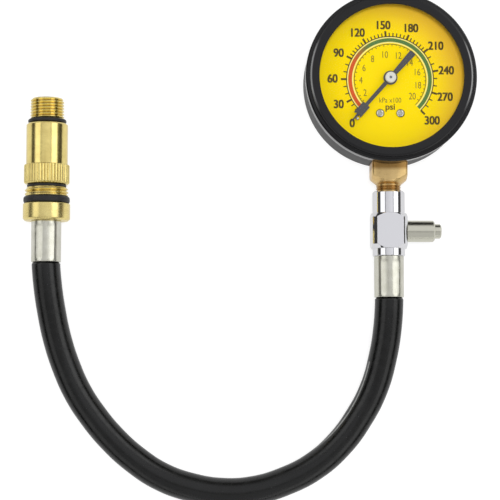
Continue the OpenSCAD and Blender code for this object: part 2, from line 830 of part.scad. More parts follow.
// Strip from the sector's tail to the tube's free end, open at the tube by its wider hole
module link() {
    color(brass) translate([0, 0, link_z]) linear_extrude(link_t) difference() {
        strip(tail_at, link_far_at, link_half_w);
        at(tail_at) circle(d = arbor_d + 2 * run_gap);
        at(link_far_at) circle(d = arbor_d + 2 * open_gap);
    }
}

// Pinion cut on the arbor that carries the pointer, with the hairspring's collet
module pinion() {
    phase = sector_angle + pointer_sweep / 2 + 180 / pinion_teeth;
    root_r = pinion_pitch_r - 1.25 * gear_module;
    color(brass) {
        translate([0, 0, sector_z - pinion_side]) linear_extrude(sector_t + 2 * pinion_side) {
            circle(root_r + join);
            for (k = [0 : pinion_teeth - 1])
                polygon(concat([[0, 0]], tooth(pinion_teeth, phase + k * 360 / pinion_teeth)));
        }
        bar(pinion_arbor_d, plate_top + end_float, front_z - end_float);
        bar(pivot_d, movement_z + pivot_short, plate_top + cut);
        bar(arbor_d, front_z - cut, hub_z + hub_h - arbor_sink);
        bar(2 * collet_r, hair_z - hair_lap, hair_z + hair_h + hair_lap);
    }
}

// Flat spiral from the collet to the stud
module hairspring() {
    steps = hair_turns * 20;
    start_r = collet_r + fit + hair_t / 2;
    line = [for (i = [0 : steps]) let (share = i / steps)
        [start_r + (hair_r - start_r) * share, hair_end_angle + 360 * hair_turns * (share - 1)]];
    color(spring_steel) translate([0, 0, hair_z]) linear_extrude(hair_h)
        polygon(concat(
            [for (p = line) polar(p[0] + hair_t / 2, p[1])],
            [for (i = [steps : -1 : 0]) polar(line[i][0] - hair_t / 2, line[i][1])]));
}

// Posts that stand on the front plate and carry the dial
module dial_posts() {
    color(brass) for (place = dial_screws_at)
        at(place, front_top) difference() {
            cylinder(d = post_d, h = dial_back - front_top);
            translate([0, 0, -cut]) cylinder(d = screw_d + 2 * fit, h = dial_z);
        }
}

module dial_plate() {
    color("#fbd91f") translate([0, 0, dial_back]) linear_extrude(dial_t) difference() {
        circle(dial_r);
        circle(d = dial_hole_d);
        at(stop_at) circle(d = stop_rivet_d + 2 * fit);
        for (place = dial_screws_at)
            at(place) circle(d = screw_d + 2 * fit);
    }
}

module dial_screws() {
    color(chrome) for (place = dial_screws_at)
        at(place, dial_z) slotted_screw(dial_screw_d, dial_screw_h, screw_d, dial_screw_l);
}

// Pin riveted in the dial, against which the pointer rests at zero
module stop_pin() {
    color(chrome) at(stop_at) {
        bar(stop_rivet_d, dial_back, dial_z + cut);
        chamfered_bar(stop_d, dial_z, pointer_z + pointer_t + stop_above, end = stop_d / 6);
    }
}

// Pressed pointer: long tail, slim arm, wide block and fine tip
module pointer() {
    block_end = block_start + block_l;
    half = [
        [block_start, arm_w / 2], [block_start, block_w / 2], [block_end, block_w / 2],
        [block_end - tip_notch, tip_half_root], [pointer_reach, tip_half_end]];
    tail = [
        [0, tail_half_root], [tail_corner - tail_reach, tail_half_end],
        [-tail_reach, tail_half_end - tail_corner]];
    upper = concat([for (i = [len(tail) - 1 : -1 : 0]) tail[i]], half);
    lower = [for (i = [len(upper) - 1 : -1 : 0]) [upper[i].x, -upper[i].y]];
    color("#4b4b50") translate([0, 0, pointer_z]) rotate(pointer_rest) difference() {
        union() {
            linear_extrude(pointer_t) polygon(concat(upper, lower));
            cylinder(d = boss_d, h = pointer_t);
        }
        bar(hub_rivet_d + 2 * fit, -cut, pointer_t + cut);
    }
}

// Turned hub, riveted in the pointer and pressed on the pinion's arbor
module pointer_hub() {
    color("#e6e4dc") difference() {
        union() {
            bar(hub_rivet_d, hub_z, pointer_z + pointer_t + hub_edge);
            chamfered_bar(hub_d, pointer_z + pointer_t, hub_z + hub_h, end = hub_edge);
        }
        bar(arbor_d + 2 * fit, hub_z - cut, hub_z + hub_h + cut);
    }
}

module lens_gasket() {
    color(rubber) translate([0, 0, rim_z]) linear_extrude(gasket_t) difference() {
        circle(rim_r - fit);
        circle(inner_r - gasket_lip);
    }
}

module lens() {
    color([0.9, 0.95, 0.97, 0.35]) chamfered_bar(2 * (rim_r - fit), lens_z, lens_top, end = lens_edge);
}

// Stepped black ring that clamps the lens on the case
module bezel() {
    ledge_z = gauge_depth - bezel_ledge_drop;
    face_r = opening_r + bezel_face_w;
    bevel_r = face_r + bezel_bevel_w;
    edge_x = bezel_r - bezel_edge_round;
    color(black) rotate_extrude() polygon(concat(
        [[opening_r, lens_top], [opening_r, lens_top + lip_t / 2],
            [opening_r + lip_t / 3, gauge_depth - bezel_ease], [face_r - 3 * bezel_ease, gauge_depth],
            [face_r, gauge_depth - bezel_ease], [bevel_r - 2 * bezel_ease, ledge_z + 1.5 * bezel_ease],
            [bevel_r + bezel_ease, ledge_z]],
        [for (a = [90 : -15 : 0]) [edge_x, ledge_z - bezel_edge_round] + polar(bezel_edge_round, a)],
        [[bezel_r, shoulder_z + seat_gap], [rim_r + fit, shoulder_z + seat_gap], [rim_r + fit, lens_top]]));
}

// Hose barb with sharp ridges, pointing along +Z
module barb(from, length) {
    pitch = length / (barb_ridges + 1);
    ridge_l = 0.8 * pitch;
    bar(barb_d, from - cut, from + length);
    for (k = [1 : barb_ridges])
        translate([0, 0, from + k * pitch]) cylinder(d1 = barb_ridge_d, d2 = barb_d, h = ridge_l);
}

// Chromed tee: collar over the neck, square block, lower collar and hose barb
module tee_body() {
    color(chrome) difference() {
        along_stem() {
            chamfered_bar(tee_collar_d, tee_start, block_start_s + cut, start = tee_chamfer);
            turned_square(tee_af, tee_corner_d, block_start_s, block_end_s, block_chamfer, block_chamfer);
            chamfered_bar(tee_collar_d, block_end_s - cut, tee_end, end = tee_chamfer / 3);
            barb(tee_end, barb_l);
        }
        along_stem() {
            bar(neck_d + 2 * fit, tee_start - cut, neck_end + neck_relief);
            bar(tee_bore_d, neck_end, block_end_s);
            bar(barb_bore, neck_end, tee_end + barb_l + cut);
        }
        along_valve() {
            bar(valve_chamber_d, -valve_chamber_d / 2, valve_seat + cut);
            bar(valve_spigot_d + 2 * fit, valve_seat, valve_base + cut);
        }
    }
}

// Sleeve screwed into the tee, which guides the button and holds its spring
module valve_sleeve() {
    color(nickel) along_valve() difference() {
        union() {
            bar(valve_spigot_d, valve_seat, valve_base + cut);
            chamfered_bar(sleeve_d, valve_base, sleeve_end, start = edge_break, end = sleeve_edge);
        }
        bar(stem_hole_d, valve_seat - cut, spring_floor + cut);
        bar(button_guide_d, spring_floor, sleeve_end + cut);
    }
}

// Button with its stem and the head that carries the seal
module release_button() {
    head_start = valve_seat - seat_gap - valve_seal_t - valve_head_t;
    color(chrome) along_valve() {
        chamfered_bar(button_d, spring_seat, button_end, end = button_edge);
        bar(button_stem_d, head_start, spring_seat + cut);
        bar(valve_head_d, head_start, head_start + valve_head_t);
    }
}

module release_spring() {
    color(spring_steel) along_valve()
        coil_spring(release_coil_d, release_wire, spring_floor, spring_seat, release_turns);
}

module release_seal() {
    color(rubber) along_valve()
        seal_ring(valve_head_d, button_stem_d + 2 * fit, valve_seat - seat_gap - valve_seal_t, valve_seal_t);
}

// Ferrule crimped on the hose: long flats between two round ends
module ferrule(from) {
    difference() {
        union() {
            chamfered_bar(ferrule_d, from, from + crimp_margin, start = edge_break, end = edge_break);
            intersection() {
                bar(ferrule_d, from + crimp_margin - cut, from + ferrule_l - crimp_end + cut / 2);
                rotate(180 / crimp_jaws) translate([0, 0, from])
                    cylinder(d = crimp_af / cos(180 / crimp_jaws), h = ferrule_l, $fn = crimp_jaws);
            }
            chamfered_bar(ferrule_d - 2 * run_gap, from + ferrule_l - crimp_end, from + ferrule_l,
                end = edge_break);
        }
        bar(squeezed_d + 4 * run_gap, from - cut, from + ferrule_l + cut);
    }
}

module gauge_ferrule() {
    color(nickel) along_stem() ferrule(tee_end);
}

module far_ferrule() {
    color(nickel) along_plug() translate([0, 0, ferrule_l]) mirror([0, 0, 1]) ferrule(0);
}

// Rubber hose, squeezed inside the ferrules and lying in a loop between them
module hose() {
    gauge_line = [tee_end + hose_stub_gap, hose_exit_s + seat_gap, hose_exit_s + seat_gap + hose_swell_l];
    plug_line = [-seat_gap - hose_swell_l, -seat_gap, ferrule_l - hose_stub_gap];
    path = concat(
        [for (s = gauge_line) [0, -s, stem_z]], hose_route,
        [for (s = plug_line) [plug_x, plug_y + s, plug_z]]);
    count = len(path);
    radii = [for (i = [0 : count - 1]) (i < 2 || i > count - 3 ? squeezed_d : hose_d) / 2];
    color(rubber) swept_tube(path, radii, hose_bore / 2 / cos(180 / hose_sides), hose_sides);
}

// Brass hose end: barb, collar, larger plug thread and the spigot for the adapter
module hose_end() {
    color(brass) along_plug() difference() {
        union() {
            translate([0, 0, collar_start]) mirror([0, 0, 1]) barb(0, barb_l);
            chamfered_bar(collar_d, collar_start, collar_top, start = thread_chamfer, end = edge_break);
            bar(collar_groove_d, collar_top - cut, large_thread_start + cut);
            chamfered_bar(large_thread_d, large_thread_start, large_thread_top, start = edge_break,
                end = thread_chamfer);
            bar(spigot_groove_d, large_thread_top - cut, adapter_start + cut);
            chamfered_bar(small_thread_d, adapter_start, spigot_top, start = thread_lead,
                end = thread_chamfer);
        }
        bar(barb_bore, collar_start - barb_l - cut, spigot_top + cut);
        bar(core_d + 2 * fit, core_floor, spigot_top + cut);
    }
}

module collar_seal() {
    color(rubber) along_plug()
        seal_ring(collar_seal_d, collar_groove_d + 2 * fit, collar_top + fit, collar_seal_w - 2 * fit);
}

module spigot_seal() {
    color(rubber) along_plug()
        seal_ring(spigot_seal_d, spigot_groove_d + 2 * fit, large_thread_top + fit,
            spigot_seal_w - fit - seat_gap);
}

// Check valve body: seat lip below, spring chamber and a bridge that guides the pin
module check_valve_body() {
    color(brass) along_plug() difference() {
        chamfered_bar(core_d, core_start, core_top, start = edge_break, end = edge_break);
        bar(core_mouth_d, core_start - cut, core_start + core_lip + cut);
        bar(core_chamber_d, core_start + core_lip, core_top - core_bridge);
        bar(pin_d + 2 * run_gap, core_start, core_top + cut);
        for (turn = [0 : 120 : 240])
            rotate(turn) translate([core_chamber_d / 4 + pin_d / 4, 0, 0])
                bar(core_vent_d, core_top - core_bridge - cut, core_top + cut);
    }
}

module check_valve_pin() {
    head_start = core_start - seat_gap - pin_seal_t - pin_head_t;
    color(chrome) along_plug() {
        bar(pin_d, head_start, core_top + pin_above);
        bar(pin_head_d, head_start, head_start + pin_head_t);
        bar(pin_collar_d, pin_collar_z, pin_collar_z + pin_collar_t);
    }
}

module check_valve_spring() {
    color(spring_steel) along_plug()
        coil_spring(core_coil_d, core_wire, core_start + core_lip, pin_collar_z, core_turns);
}

module check_valve_seal() {
    color(rubber) along_plug()
        seal_ring(pin_seal_d, pin_d + 2 * fit, core_start - seat_gap - pin_seal_t, pin_seal_t);
}

// Long-reach adapter: knurled grip, smooth sleeve and the smaller plug thread
module adapter() {
    ridge_r = knurl_d / 2;
    color(brass) along_plug() difference() {
        union() {
            intersection() {
                translate([0, 0, adapter_start]) linear_extrude(knurl_l) polygon([
                    for (k = [0 : 2 * knurl_count - 1])
                        polar(ridge_r - (k % 2) * knurl_depth, k * 180 / knurl_count)]);
                chamfered_bar(knurl_d + knurl_depth, adapter_start, knurl_top,
                    start = thread_chamfer, end = thread_lead);
            }
            chamfered_bar(reach_d, knurl_top - cut, reach_top, end = thread_chamfer);
            bar(adapter_groove_d, reach_top - cut, small_thread_start + cut);
            chamfered_bar(small_thread_d, small_thread_start, plug_tip, start = thread_lead,
                end = thread_chamfer);
        }
        bar(small_thread_d + 2 * run_gap, adapter_start - cut, adapter_floor);
        bar(plug_bore, adapter_floor - cut, plug_tip + cut);
    }
}

module adapter_seal() {
    color(rubber) along_plug()
        seal_ring(adapter_seal_d, adapter_groove_d + 2 * run_gap, reach_top + seat_gap,
            adapter_seal_w - 2 * seat_gap);
}

case();
case_screws();
socket();
bourdon_tube();
tube_tip();
movement_back_plate();
movement_pillars();
movement_front_plate();
movement_screws();
sector_gear();
link();
pinion();
hairspring();
dial_posts();
dial_plate();
dial_screws();
stop_pin();
pointer();
pointer_hub();
lens_gasket();
lens();
bezel();
tee_body();
valve_sleeve();
release_button();
release_spring();
release_seal();
gauge_ferrule();
hose();
far_ferrule();
hose_end();
collar_seal();
spigot_seal();
check_valve_body();
check_valve_pin();
check_valve_spring();
check_valve_seal();
adapter();
adapter_seal();
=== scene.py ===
import math

import bmesh
import bpy
from mathutils import Matrix, Vector


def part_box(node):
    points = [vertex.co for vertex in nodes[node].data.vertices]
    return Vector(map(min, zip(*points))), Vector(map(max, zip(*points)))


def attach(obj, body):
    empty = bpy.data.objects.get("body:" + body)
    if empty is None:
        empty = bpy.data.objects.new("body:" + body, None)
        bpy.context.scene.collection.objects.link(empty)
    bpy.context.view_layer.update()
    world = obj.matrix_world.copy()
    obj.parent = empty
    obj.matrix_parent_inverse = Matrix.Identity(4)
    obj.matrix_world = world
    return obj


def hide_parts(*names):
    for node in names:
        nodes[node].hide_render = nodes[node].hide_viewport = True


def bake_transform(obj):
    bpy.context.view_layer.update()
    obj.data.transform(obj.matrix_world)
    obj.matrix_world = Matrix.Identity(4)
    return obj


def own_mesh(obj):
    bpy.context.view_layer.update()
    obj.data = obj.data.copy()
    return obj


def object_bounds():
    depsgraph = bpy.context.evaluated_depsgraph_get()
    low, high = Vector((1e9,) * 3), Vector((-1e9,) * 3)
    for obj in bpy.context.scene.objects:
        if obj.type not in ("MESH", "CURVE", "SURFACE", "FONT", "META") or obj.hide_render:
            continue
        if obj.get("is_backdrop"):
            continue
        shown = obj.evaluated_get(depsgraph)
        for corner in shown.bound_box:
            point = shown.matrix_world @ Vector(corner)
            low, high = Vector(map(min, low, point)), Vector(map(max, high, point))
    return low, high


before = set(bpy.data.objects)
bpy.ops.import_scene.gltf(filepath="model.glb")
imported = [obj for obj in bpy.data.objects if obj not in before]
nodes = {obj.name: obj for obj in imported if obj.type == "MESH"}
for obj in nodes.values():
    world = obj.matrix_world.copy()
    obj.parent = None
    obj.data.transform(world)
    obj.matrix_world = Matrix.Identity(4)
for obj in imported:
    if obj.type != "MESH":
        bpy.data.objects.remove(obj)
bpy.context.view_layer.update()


# Case and its screws: a deep-drawn steel cup in satin black enamel. The bezel closes its front,
# and two slotted steel screws through its back hold it on the brass socket.
MM = 0.001


class Shade:
    """One output of a node: operators on it add Math nodes, and make() adds any other node."""

    def __init__(self, tree, output):
        self.tree = tree
        self.output = output

    def make(self, kind, settings=None, sockets=None, take=0):
        """Adds a node: its settings come first, then the values or links of its sockets."""
        node = self.tree.nodes.new("ShaderNode" + kind)
        for name, value in (settings or {}).items():
            if name == "stops":
                ramp = node.color_ramp
                while len(ramp.elements) < len(value):
                    ramp.elements.new(0.5)
                for element, (position, colour) in zip(ramp.elements, value):
                    element.position = position
                    element.color = (*colour, 1)
            else:
                setattr(node, name, value)
        for name, value in (sockets or {}).items():
            if isinstance(value, Shade):
                self.tree.links.new(value.output, node.inputs[name])
            else:
                node.inputs[name].default_value = value
        return Shade(self.tree, node.outputs[take])

    def other(self, name):
        """Another output of the same node."""
        return Shade(self.tree, self.output.node.outputs[name])

    def maths(self, operation, first, second=0.0):
        return self.make("Math", {"operation": operation}, {0: first, 1: second})

    def __add__(self, value):
        return self.maths("ADD", self, value)

    def __sub__(self, value):
        return self.maths("SUBTRACT", self, value)

    def __rsub__(self, value):
        return self.maths("SUBTRACT", value, self)

    def __mul__(self, value):
        return self.maths("MULTIPLY", self, value)

    def __truediv__(self, value):
        return self.maths("DIVIDE", self, value)

    def __abs__(self):
        return self.maths("ABSOLUTE", self)

    __radd__ = __add__
    __rmul__ = __mul__

    def axes(self):
        parts = self.make("SeparateXYZ", {}, {0: self})
        return parts, parts.other("Y"), parts.other("Z")

    def scaled(self, x, y, z):
        return self.make("VectorMath", {"operation": "MULTIPLY"}, {0: self, 1: (x, y, z)})

    def noise(self, size, detail=2.0):
        return self.make("TexNoise", {}, {"Vector": self, "Scale": 1 / size, "Detail": detail})

    def step(self, low, high):
        """Goes smoothly from 0 at low to 1 at high."""
        return self.make("MapRange", {"interpolation_type": "SMOOTHSTEP"}, {
            "Value": self, "From Min": low, "From Max": high})

    def blend(self, *colours):
        """The first colour where this is 0, and the second where it is 1."""
        first, second = (c if isinstance(c, Shade) else (*c, 1) for c in colours)
        return self.make("Mix", {"data_type": "RGBA"}, {0: self, 6: first, 7: second}, take=2)

    def bump(self, height_mm, strength, edge_mm=0.0):
        """A surface with this relief. With edge_mm, its edges shine as if rounded by that much."""
        sockets = {"Height": self, "Strength": strength, "Distance": height_mm * MM}
        if edge_mm:
            sockets["Normal"] = self.make("Bevel", {"samples": 4}, {"Radius": edge_mm * MM})
        return self.make("Bump", {}, sockets)

    def shader(self, **sockets):
        """The main shader, with its sockets' names in small letters."""
        named = {}
        for name, value in sockets.items():
            named[name.replace("_", " ").title().replace("Ior", "IOR")] = value
        return self.make("BsdfPrincipled", {}, named)


def distance(x, y):
    """How far a place is from an axis, by its two offsets from it."""
    return x.maths("SQRT", x * x + y * y)


def linear(red, green, blue):
    """A colour as it looks on a screen, from 0 to 255, as the linear values that shaders take."""
    return tuple((value / 255) ** 2.2 for value in (red, green, blue))


def new_material(name):
    """A material, and the place on the object in millimetres along the frame's axes."""
    material = bpy.data.materials.new(name)
    material.use_nodes = True
    tree = material.node_tree
    tree.nodes.clear()
    metres = Shade(tree, tree.nodes.new("ShaderNodeTexCoord").outputs["Object"])
    return material, metres.scaled(1 / MM, 1 / MM, 1 / MM)


def finish(material, shader):
    output = material.node_tree.nodes.new("ShaderNodeOutputMaterial")
    material.node_tree.links.new(shader.output, output.inputs["Surface"])
    return material


def coat(thing, material):
    """Gives an object this material alone."""
    thing.data.materials.clear()
    thing.data.materials.append(material)


def dress(material, *names):
    """Gives CAD nodes this material."""
    for name in names:
        coat(nodes[name], material)


def black_enamel(name, colour, roughness, shine, sheen_radius=None):
    """Black paint. At sheen_radius from the gauge's axis a clear coat, on the left and right sides only, is
    a painted sheen where the side lights fall.
    """
    material, place = new_material(name)
    cloud = place.noise(9, detail=3)
    peel = place.noise(0.8)
    painted_sheen = 0.0
    # Painted sheen: a clear coat on the rounded edge, only at the left and right sides.
    if sheen_radius:
        x, y, _ = place.axes()
        radius = distance(x, y)
        on_edge = 1.0 - abs(radius - sheen_radius).step(0.3, 0.6)
        at_sides = (abs(x) / radius).step(0.88, 0.97)
        painted_sheen = on_edge * at_sides
    return finish(material, place.shader(
        base_color=(*linear(*colour), 1),
        roughness=roughness + cloud * 0.1,
        specular_ior_level=shine,
        coat_weight=painted_sheen,
        coat_ior=2.4,
        coat_roughness=0.1,
        normal=peel.bump(height_mm=0.004, strength=0.3, edge_mm=0.25)))


def bright_steel(name, colour, roughness, line_mm):
    """Plated steel with fine turning marks across the stem's axis."""
    material, place = new_material(name)
    marks = place.scaled(0.15, 1, 0.15).noise(line_mm, detail=4)
    cloud = place.noise(4)
    return finish(material, place.shader(
        base_color=(*linear(*colour), 1),
        metallic=1.0,
        roughness=roughness * 0.8 + (marks * 0.5 + cloud * 0.5) * roughness * 0.5,
        normal=marks.bump(height_mm=0.008, strength=0.35, edge_mm=0.18)))


satin_enamel = black_enamel("satin_enamel", (40, 40, 40), roughness=0.42, shine=0.36)
screw_steel = bright_steel("screw_steel", (190, 188, 182), roughness=0.28, line_mm=0.3)
dress(satin_enamel, "case")
dress(screw_steel, "case_screws")


# Socket: a square brass bar with turned corners, sawn and machined, with the pipe thread of its neck cut
# outside the case and a milled block and shelf inside. It carries the tube and the movement.
STEM_HEIGHT = 10.0
NECK_RADIUS = 5.15
NECK_BORE = 1.5
NECK_CHAMFER = 0.6
NECK_ROUNDING = 0.15
NECK_PITCH = 0.94
NECK_THREAD_DEPTH = 0.42
NECK_CORE = 4.0
NECK_STEP = 0.08
THREAD_STEEPNESS = 1.35
THREAD_CREST = 0.2
THREAD_RUN_OUT = 0.6
CORNER_STEPS = 4
SHARP_ANGLE = 35
# Points of a mesh that lie closer than this, in metres, become one.
WELD = 1e-7
CAD_WELD = 1e-6
# The neck starts inside the square, shows for a stretch and screws into the tee.
NECK_ROOT = 0.6
NECK_SHOWN = 2.8
NECK_GRIP = 8.0
# The square is sawn off just past its end, and the thread starts a little further on.
SAWN_PAST = 0.1
THREAD_PAST = 0.2


def eased(outline, radius):
    """The closed outline with each corner replaced by a small curve."""
    curved = []
    for i, point in enumerate(outline):
        corner = Vector(point)
        back = Vector(outline[i - 1]) - corner
        ahead = Vector(outline[(i + 1) % len(outline)]) - corner
        start = corner + back.normalized() * min(radius, back.length * 0.45)
        end = corner + ahead.normalized() * min(radius, ahead.length * 0.45)
        for k in range(CORNER_STEPS + 1):
            t = k / CORNER_STEPS
            curved.append(tuple(start * (1 - t) ** 2 + corner * 2 * t * (1 - t) + end * t ** 2))
    return curved


def stations(outline, step, *worked):
    """The outline with points no further apart than step where it is threaded or crimped. Such a
    worked stretch is its first and last station and the core that it stays outside of."""
    dense = []
    for i, (station, radius) in enumerate(outline):
        next_station, next_radius = outline[(i + 1) % len(outline)]
        middle = (station + next_station) / 2
        count = 1
        for first, last, core in worked:
            if first < middle < last and min(radius, next_radius) > core:
                count = max(1, math.ceil(abs(next_station - station) / step))
        for k in range(count):
            share = k / count
            dense.append((station + (next_station - station) * share,
                          radius + (next_radius - radius) * share))
    return dense


def turned(name, outline, centre, along, sides, swell=None, closed=True):
    """A piece turned round an axis: outline holds stations along it and radii, in millimetres."""
    lean = Vector((0, 0, 1)).rotation_difference(Vector(along)).to_matrix()
    points = []
    for k in range(sides):
        angle = 2 * math.pi * k / sides
        for station, radius in outline:
            if swell:
                station, radius = swell(station, radius, angle)
            spoke = Vector((radius * math.cos(angle), radius * math.sin(angle), station))
            points.append(Vector(centre) + lean @ (spoke * MM))
    count = len(outline)
    faces = []
    for k in range(sides):
        following = (k + 1) % sides
        for i in range(count if closed else count - 1):
            j = (i + 1) % count
            faces.append((k * count + i, following * count + i, following * count + j, k * count + j))
    mesh = bpy.data.meshes.new(name)
    mesh.from_pydata(points, [], faces)
    return shown(name, mesh)


def shown(name, mesh):
    """A piece with this mesh: cleaned, facing outwards and smooth except at its sharp edges."""
    cleaned = bmesh.new()
    cleaned.from_mesh(mesh)
    bmesh.ops.remove_doubles(cleaned, verts=cleaned.verts, dist=WELD)
    bmesh.ops.dissolve_degenerate(cleaned, edges=cleaned.edges, dist=WELD)
    bmesh.ops.recalc_face_normals(cleaned, faces=cleaned.faces)
    cleaned.to_mesh(mesh)
    cleaned.free()
    mesh.shade_smooth()
    mesh.set_sharp_from_angle(angle=math.radians(SHARP_ANGLE))
    piece = bpy.data.objects.new(name, mesh)
    bpy.context.scene.collection.objects.link(piece)
    return piece


def seated(piece, material, body, slot, *replaced):
    """Finishes a piece: its material, the body that it rides on and the nodes it stands for. Its slot is
    not used.
    """
    coat(piece, material)
    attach(piece, body)
    if replaced:
        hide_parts(*replaced)
    return piece


def thread(pitch, depth, start, end, core):
    """Cuts a right-hand V thread into the wall from start to end that lies outside the core."""
    def cut(station, radius, angle):
        if start <= station <= end and radius > core:
            phase = (station / pitch - angle / (2 * math.pi)) % 1
            valley = min(1, max(0, abs(2 * phase - 1) * THREAD_STEEPNESS - THREAD_CREST))
            fade = THREAD_RUN_OUT * pitch
            run_out = min(1, (station - start) / fade, (end - station) / fade)
            radius = max(core, radius - depth * valley * max(0, run_out))
        return station, radius
    return cut


def machined_brass(name, colour, deep_colour, roughness, shade_bands=()):
    """Brass with turning marks and a slight cloudiness, and painted shade: a browner, darker tone in its
    hollows, and bands of painted shade, each growing to its weight from its first distance down the stem to
    its second."""
    material, place = new_material(name)
    marks = place.scaled(0.12, 1, 0.12).noise(0.22, detail=4)
    cloud = place.noise(3.5, detail=3)
    # Painted shade: hollows, where Pointiness is low, take the deep colour.
    open_face = place.make("NewGeometry", take="Pointiness").step(0.42, 0.5)
    tone = (cloud * 0.7 + marks * 0.3).step(0.3, 0.75) * 0.25 + open_face * 0.75
    # Painted shade: each band darkens the brass towards its deep colour down the stem.
    for start, end, weight in shade_bands:
        down = 0.0 - place.axes()[1]
        tone = tone * (1.0 - down.step(start, end) * weight)
    return finish(material, place.shader(
        base_color=tone.blend(linear(*deep_colour), linear(*colour)),
        metallic=1.0,
        roughness=roughness * 0.75 + marks * roughness * 0.5,
        normal=marks.bump(height_mm=0.01, strength=0.4, edge_mm=0.15)))


neck_end = -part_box("socket")[0].y / MM
square_end = neck_end - NECK_GRIP - NECK_SHOWN
case_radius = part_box("case")[1].x / MM
# Painted shade: the neck past the square is darker, and a painted shadow of the bezel darkens the socket
# next to the case.
neck_shade = (square_end - 0.3, square_end + 0.5, 0.55)
case_shadow = (case_radius + 3.2, case_radius + 1.2, 0.8)
socket_brass = machined_brass(
    "socket_brass", (244, 210, 146), (150, 108, 52), roughness=0.3, shade_bands=[neck_shade, case_shadow])
inner_brass = machined_brass("inner_brass", (222, 190, 118), (190, 150, 80), roughness=0.25)
socket_mesh = nodes["socket"].data.copy()
square = bmesh.new()
square.from_mesh(socket_mesh)
bmesh.ops.remove_doubles(square, verts=square.verts, dist=CAD_WELD)
sawn = bmesh.ops.bisect_plane(
    square, geom=square.verts[:] + square.edges[:] + square.faces[:],
    plane_co=(0, -(square_end + SAWN_PAST) * MM, 0), plane_no=(0, -1, 0), clear_outer=True)
bmesh.ops.holes_fill(square, edges=[e for e in sawn["geom_cut"] if isinstance(e, bmesh.types.BMEdge)])
neck_thread = (square_end + THREAD_PAST, neck_end, NECK_CORE)
neck_outline = stations(eased([
    (square_end - NECK_ROOT, NECK_BORE), (square_end - NECK_ROOT, NECK_RADIUS),
    (neck_end - NECK_CHAMFER, NECK_RADIUS), (neck_end, NECK_RADIUS - NECK_CHAMFER),
    (neck_end, NECK_BORE)], NECK_ROUNDING), NECK_STEP, neck_thread)
neck = turned("neck", neck_outline, (0, 0, STEM_HEIGHT * MM), (0, -1, 0), sides=120,
              swell=thread(NECK_PITCH, NECK_THREAD_DEPTH, *neck_thread))
square.from_mesh(neck.data)
bpy.data.objects.remove(neck)
square.to_mesh(socket_mesh)
square.free()
socket = shown("threaded_socket", socket_mesh)
seated(socket, socket_brass, "gauge", "brass", "socket")


# Bourdon tube and its tip: an oval brass tube bent to a C and soldered into the socket, with a cap on its
# free end. Pressure straightens it a little and moves the tip.
tube = shown("bent_tube", nodes["bourdon_tube"].data.copy())
coat(tube, inner_brass)
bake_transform(tube)
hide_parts("bourdon_tube")
dress(inner_brass, "tube_tip")


# Movement: two stamped brass plates on turned pillars, a toothed sector that the tube pulls through a
# link, the pinion on the pointer's arbor and a flat hairspring that takes up the play.
spring_steel = bright_steel("spring_steel", (150, 152, 158), roughness=0.22, line_mm=0.2)
dress(inner_brass, "movement_back_plate", "movement_front_plate", "movement_pillars", "sector_gear", "link",
      "dial_posts")
dress(screw_steel, "movement_screws")
dress(spring_steel, "hairspring", "pinion")


# Dial: an aluminium disc in yellow print, with painted shade of the bezel that turns it warmer and darker
# towards its edge, with a psi scale outside a coloured band and a kPa scale inside it. The print stands a
# few hundredths of a millimetre proud.
ZERO_ANGLE = 228.5
FIRST_STEP = 20.6
LATER_STEP = 28.15
STEP_PSI = 30
FULL_PSI = 300
TICK_PSI = 10
FINE_TICK_PSI = 5
FINE_RANGE = (90, 210)
KPA_100 = 14.5
KPA_HALVES = 40
ARC_STEPS = 120
PRINT_HEIGHT = 0.03
PRINT_LAYER = 0.004
PRINT_DROP = 0.45
PRINT_WELD = 0.001
PRINT_ROUGHNESS = 0.45
# The height and the middle of a figure in Blender's own font.
FIGURE_HEIGHT = 0.7
FIGURE_MIDDLE = 0.041
# Inner and outer radii of the printed lines and ticks, with the ticks' widths.
PSI_LINE = (17.85, 18.25)
LONG_TICK = (18.1, 20.4, 0.85)
SHORT_TICK = (18.1, 19.6, 0.5)
KPA_LINE = (14.7, 15.0)
KPA_LONG_TICK = (13.9, 14.9, 0.28)
KPA_SHORT_TICK = (14.25, 14.9, 0.28)
COLOUR_BAND = (15.85, 17.35)
BAND_EDGES = ((15.35, 15.75), (17.45, 17.8))
# The band turns from red to green round this pressure, over so many radians before and after it.
TURN_PSI = 104
TURN_BEFORE = 0.4
TURN_AFTER = 0.38
psi_places = [
    (-15.8, -18.7), (-21.4, -10.8), (-23.9, -0.1), (-21.3, 10.7), (-13.6, 19.2), (-2.9, 22.4),
    (8.7, 21.2), (19.1, 13.8), (23.4, 3.5), (22.8, -7.6), (17.3, -17.5)]
kpa_places = [
    (-10.4, -6.0), (-12.1, -0.8), (-10.8, 4.4), (-7.2, 8.2), (-2.2, 10.0), (3.4, 9.6), (8.1, 6.7),
    (11.2, 2.7), (11.5, -2.8), (9.2, -7.4)]
dial_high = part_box("dial_plate")[1]
dial_radius = dial_high.x / MM


def dial_angle(psi):
    """Where a pressure lies on the dial, in radians from +X. The first step of the scale is shorter."""
    if psi <= STEP_PSI:
        return math.radians(ZERO_ANGLE - FIRST_STEP * psi / STEP_PSI)
    return math.radians(ZERO_ANGLE - FIRST_STEP - LATER_STEP * (psi - STEP_PSI) / STEP_PSI)


def on_dial(radius, angle, side=0.0):
    """A point of the scale in millimetres, moved sideways from its spoke. The print sits a little low."""
    return Vector((radius * math.cos(angle) - side * math.sin(angle),
                   radius * math.sin(angle) + side * math.cos(angle) - PRINT_DROP))


def tick(print_mesh, psi, inner, outer, width):
    """A short line across the scale at a pressure."""
    angle = dial_angle(psi)
    corners = [on_dial(inner, angle, -width / 2), on_dial(outer, angle, -width / 2),
               on_dial(outer, angle, width / 2), on_dial(inner, angle, width / 2)]
    print_mesh.faces.new([print_mesh.verts.new((p.x, p.y, 0)) for p in corners])


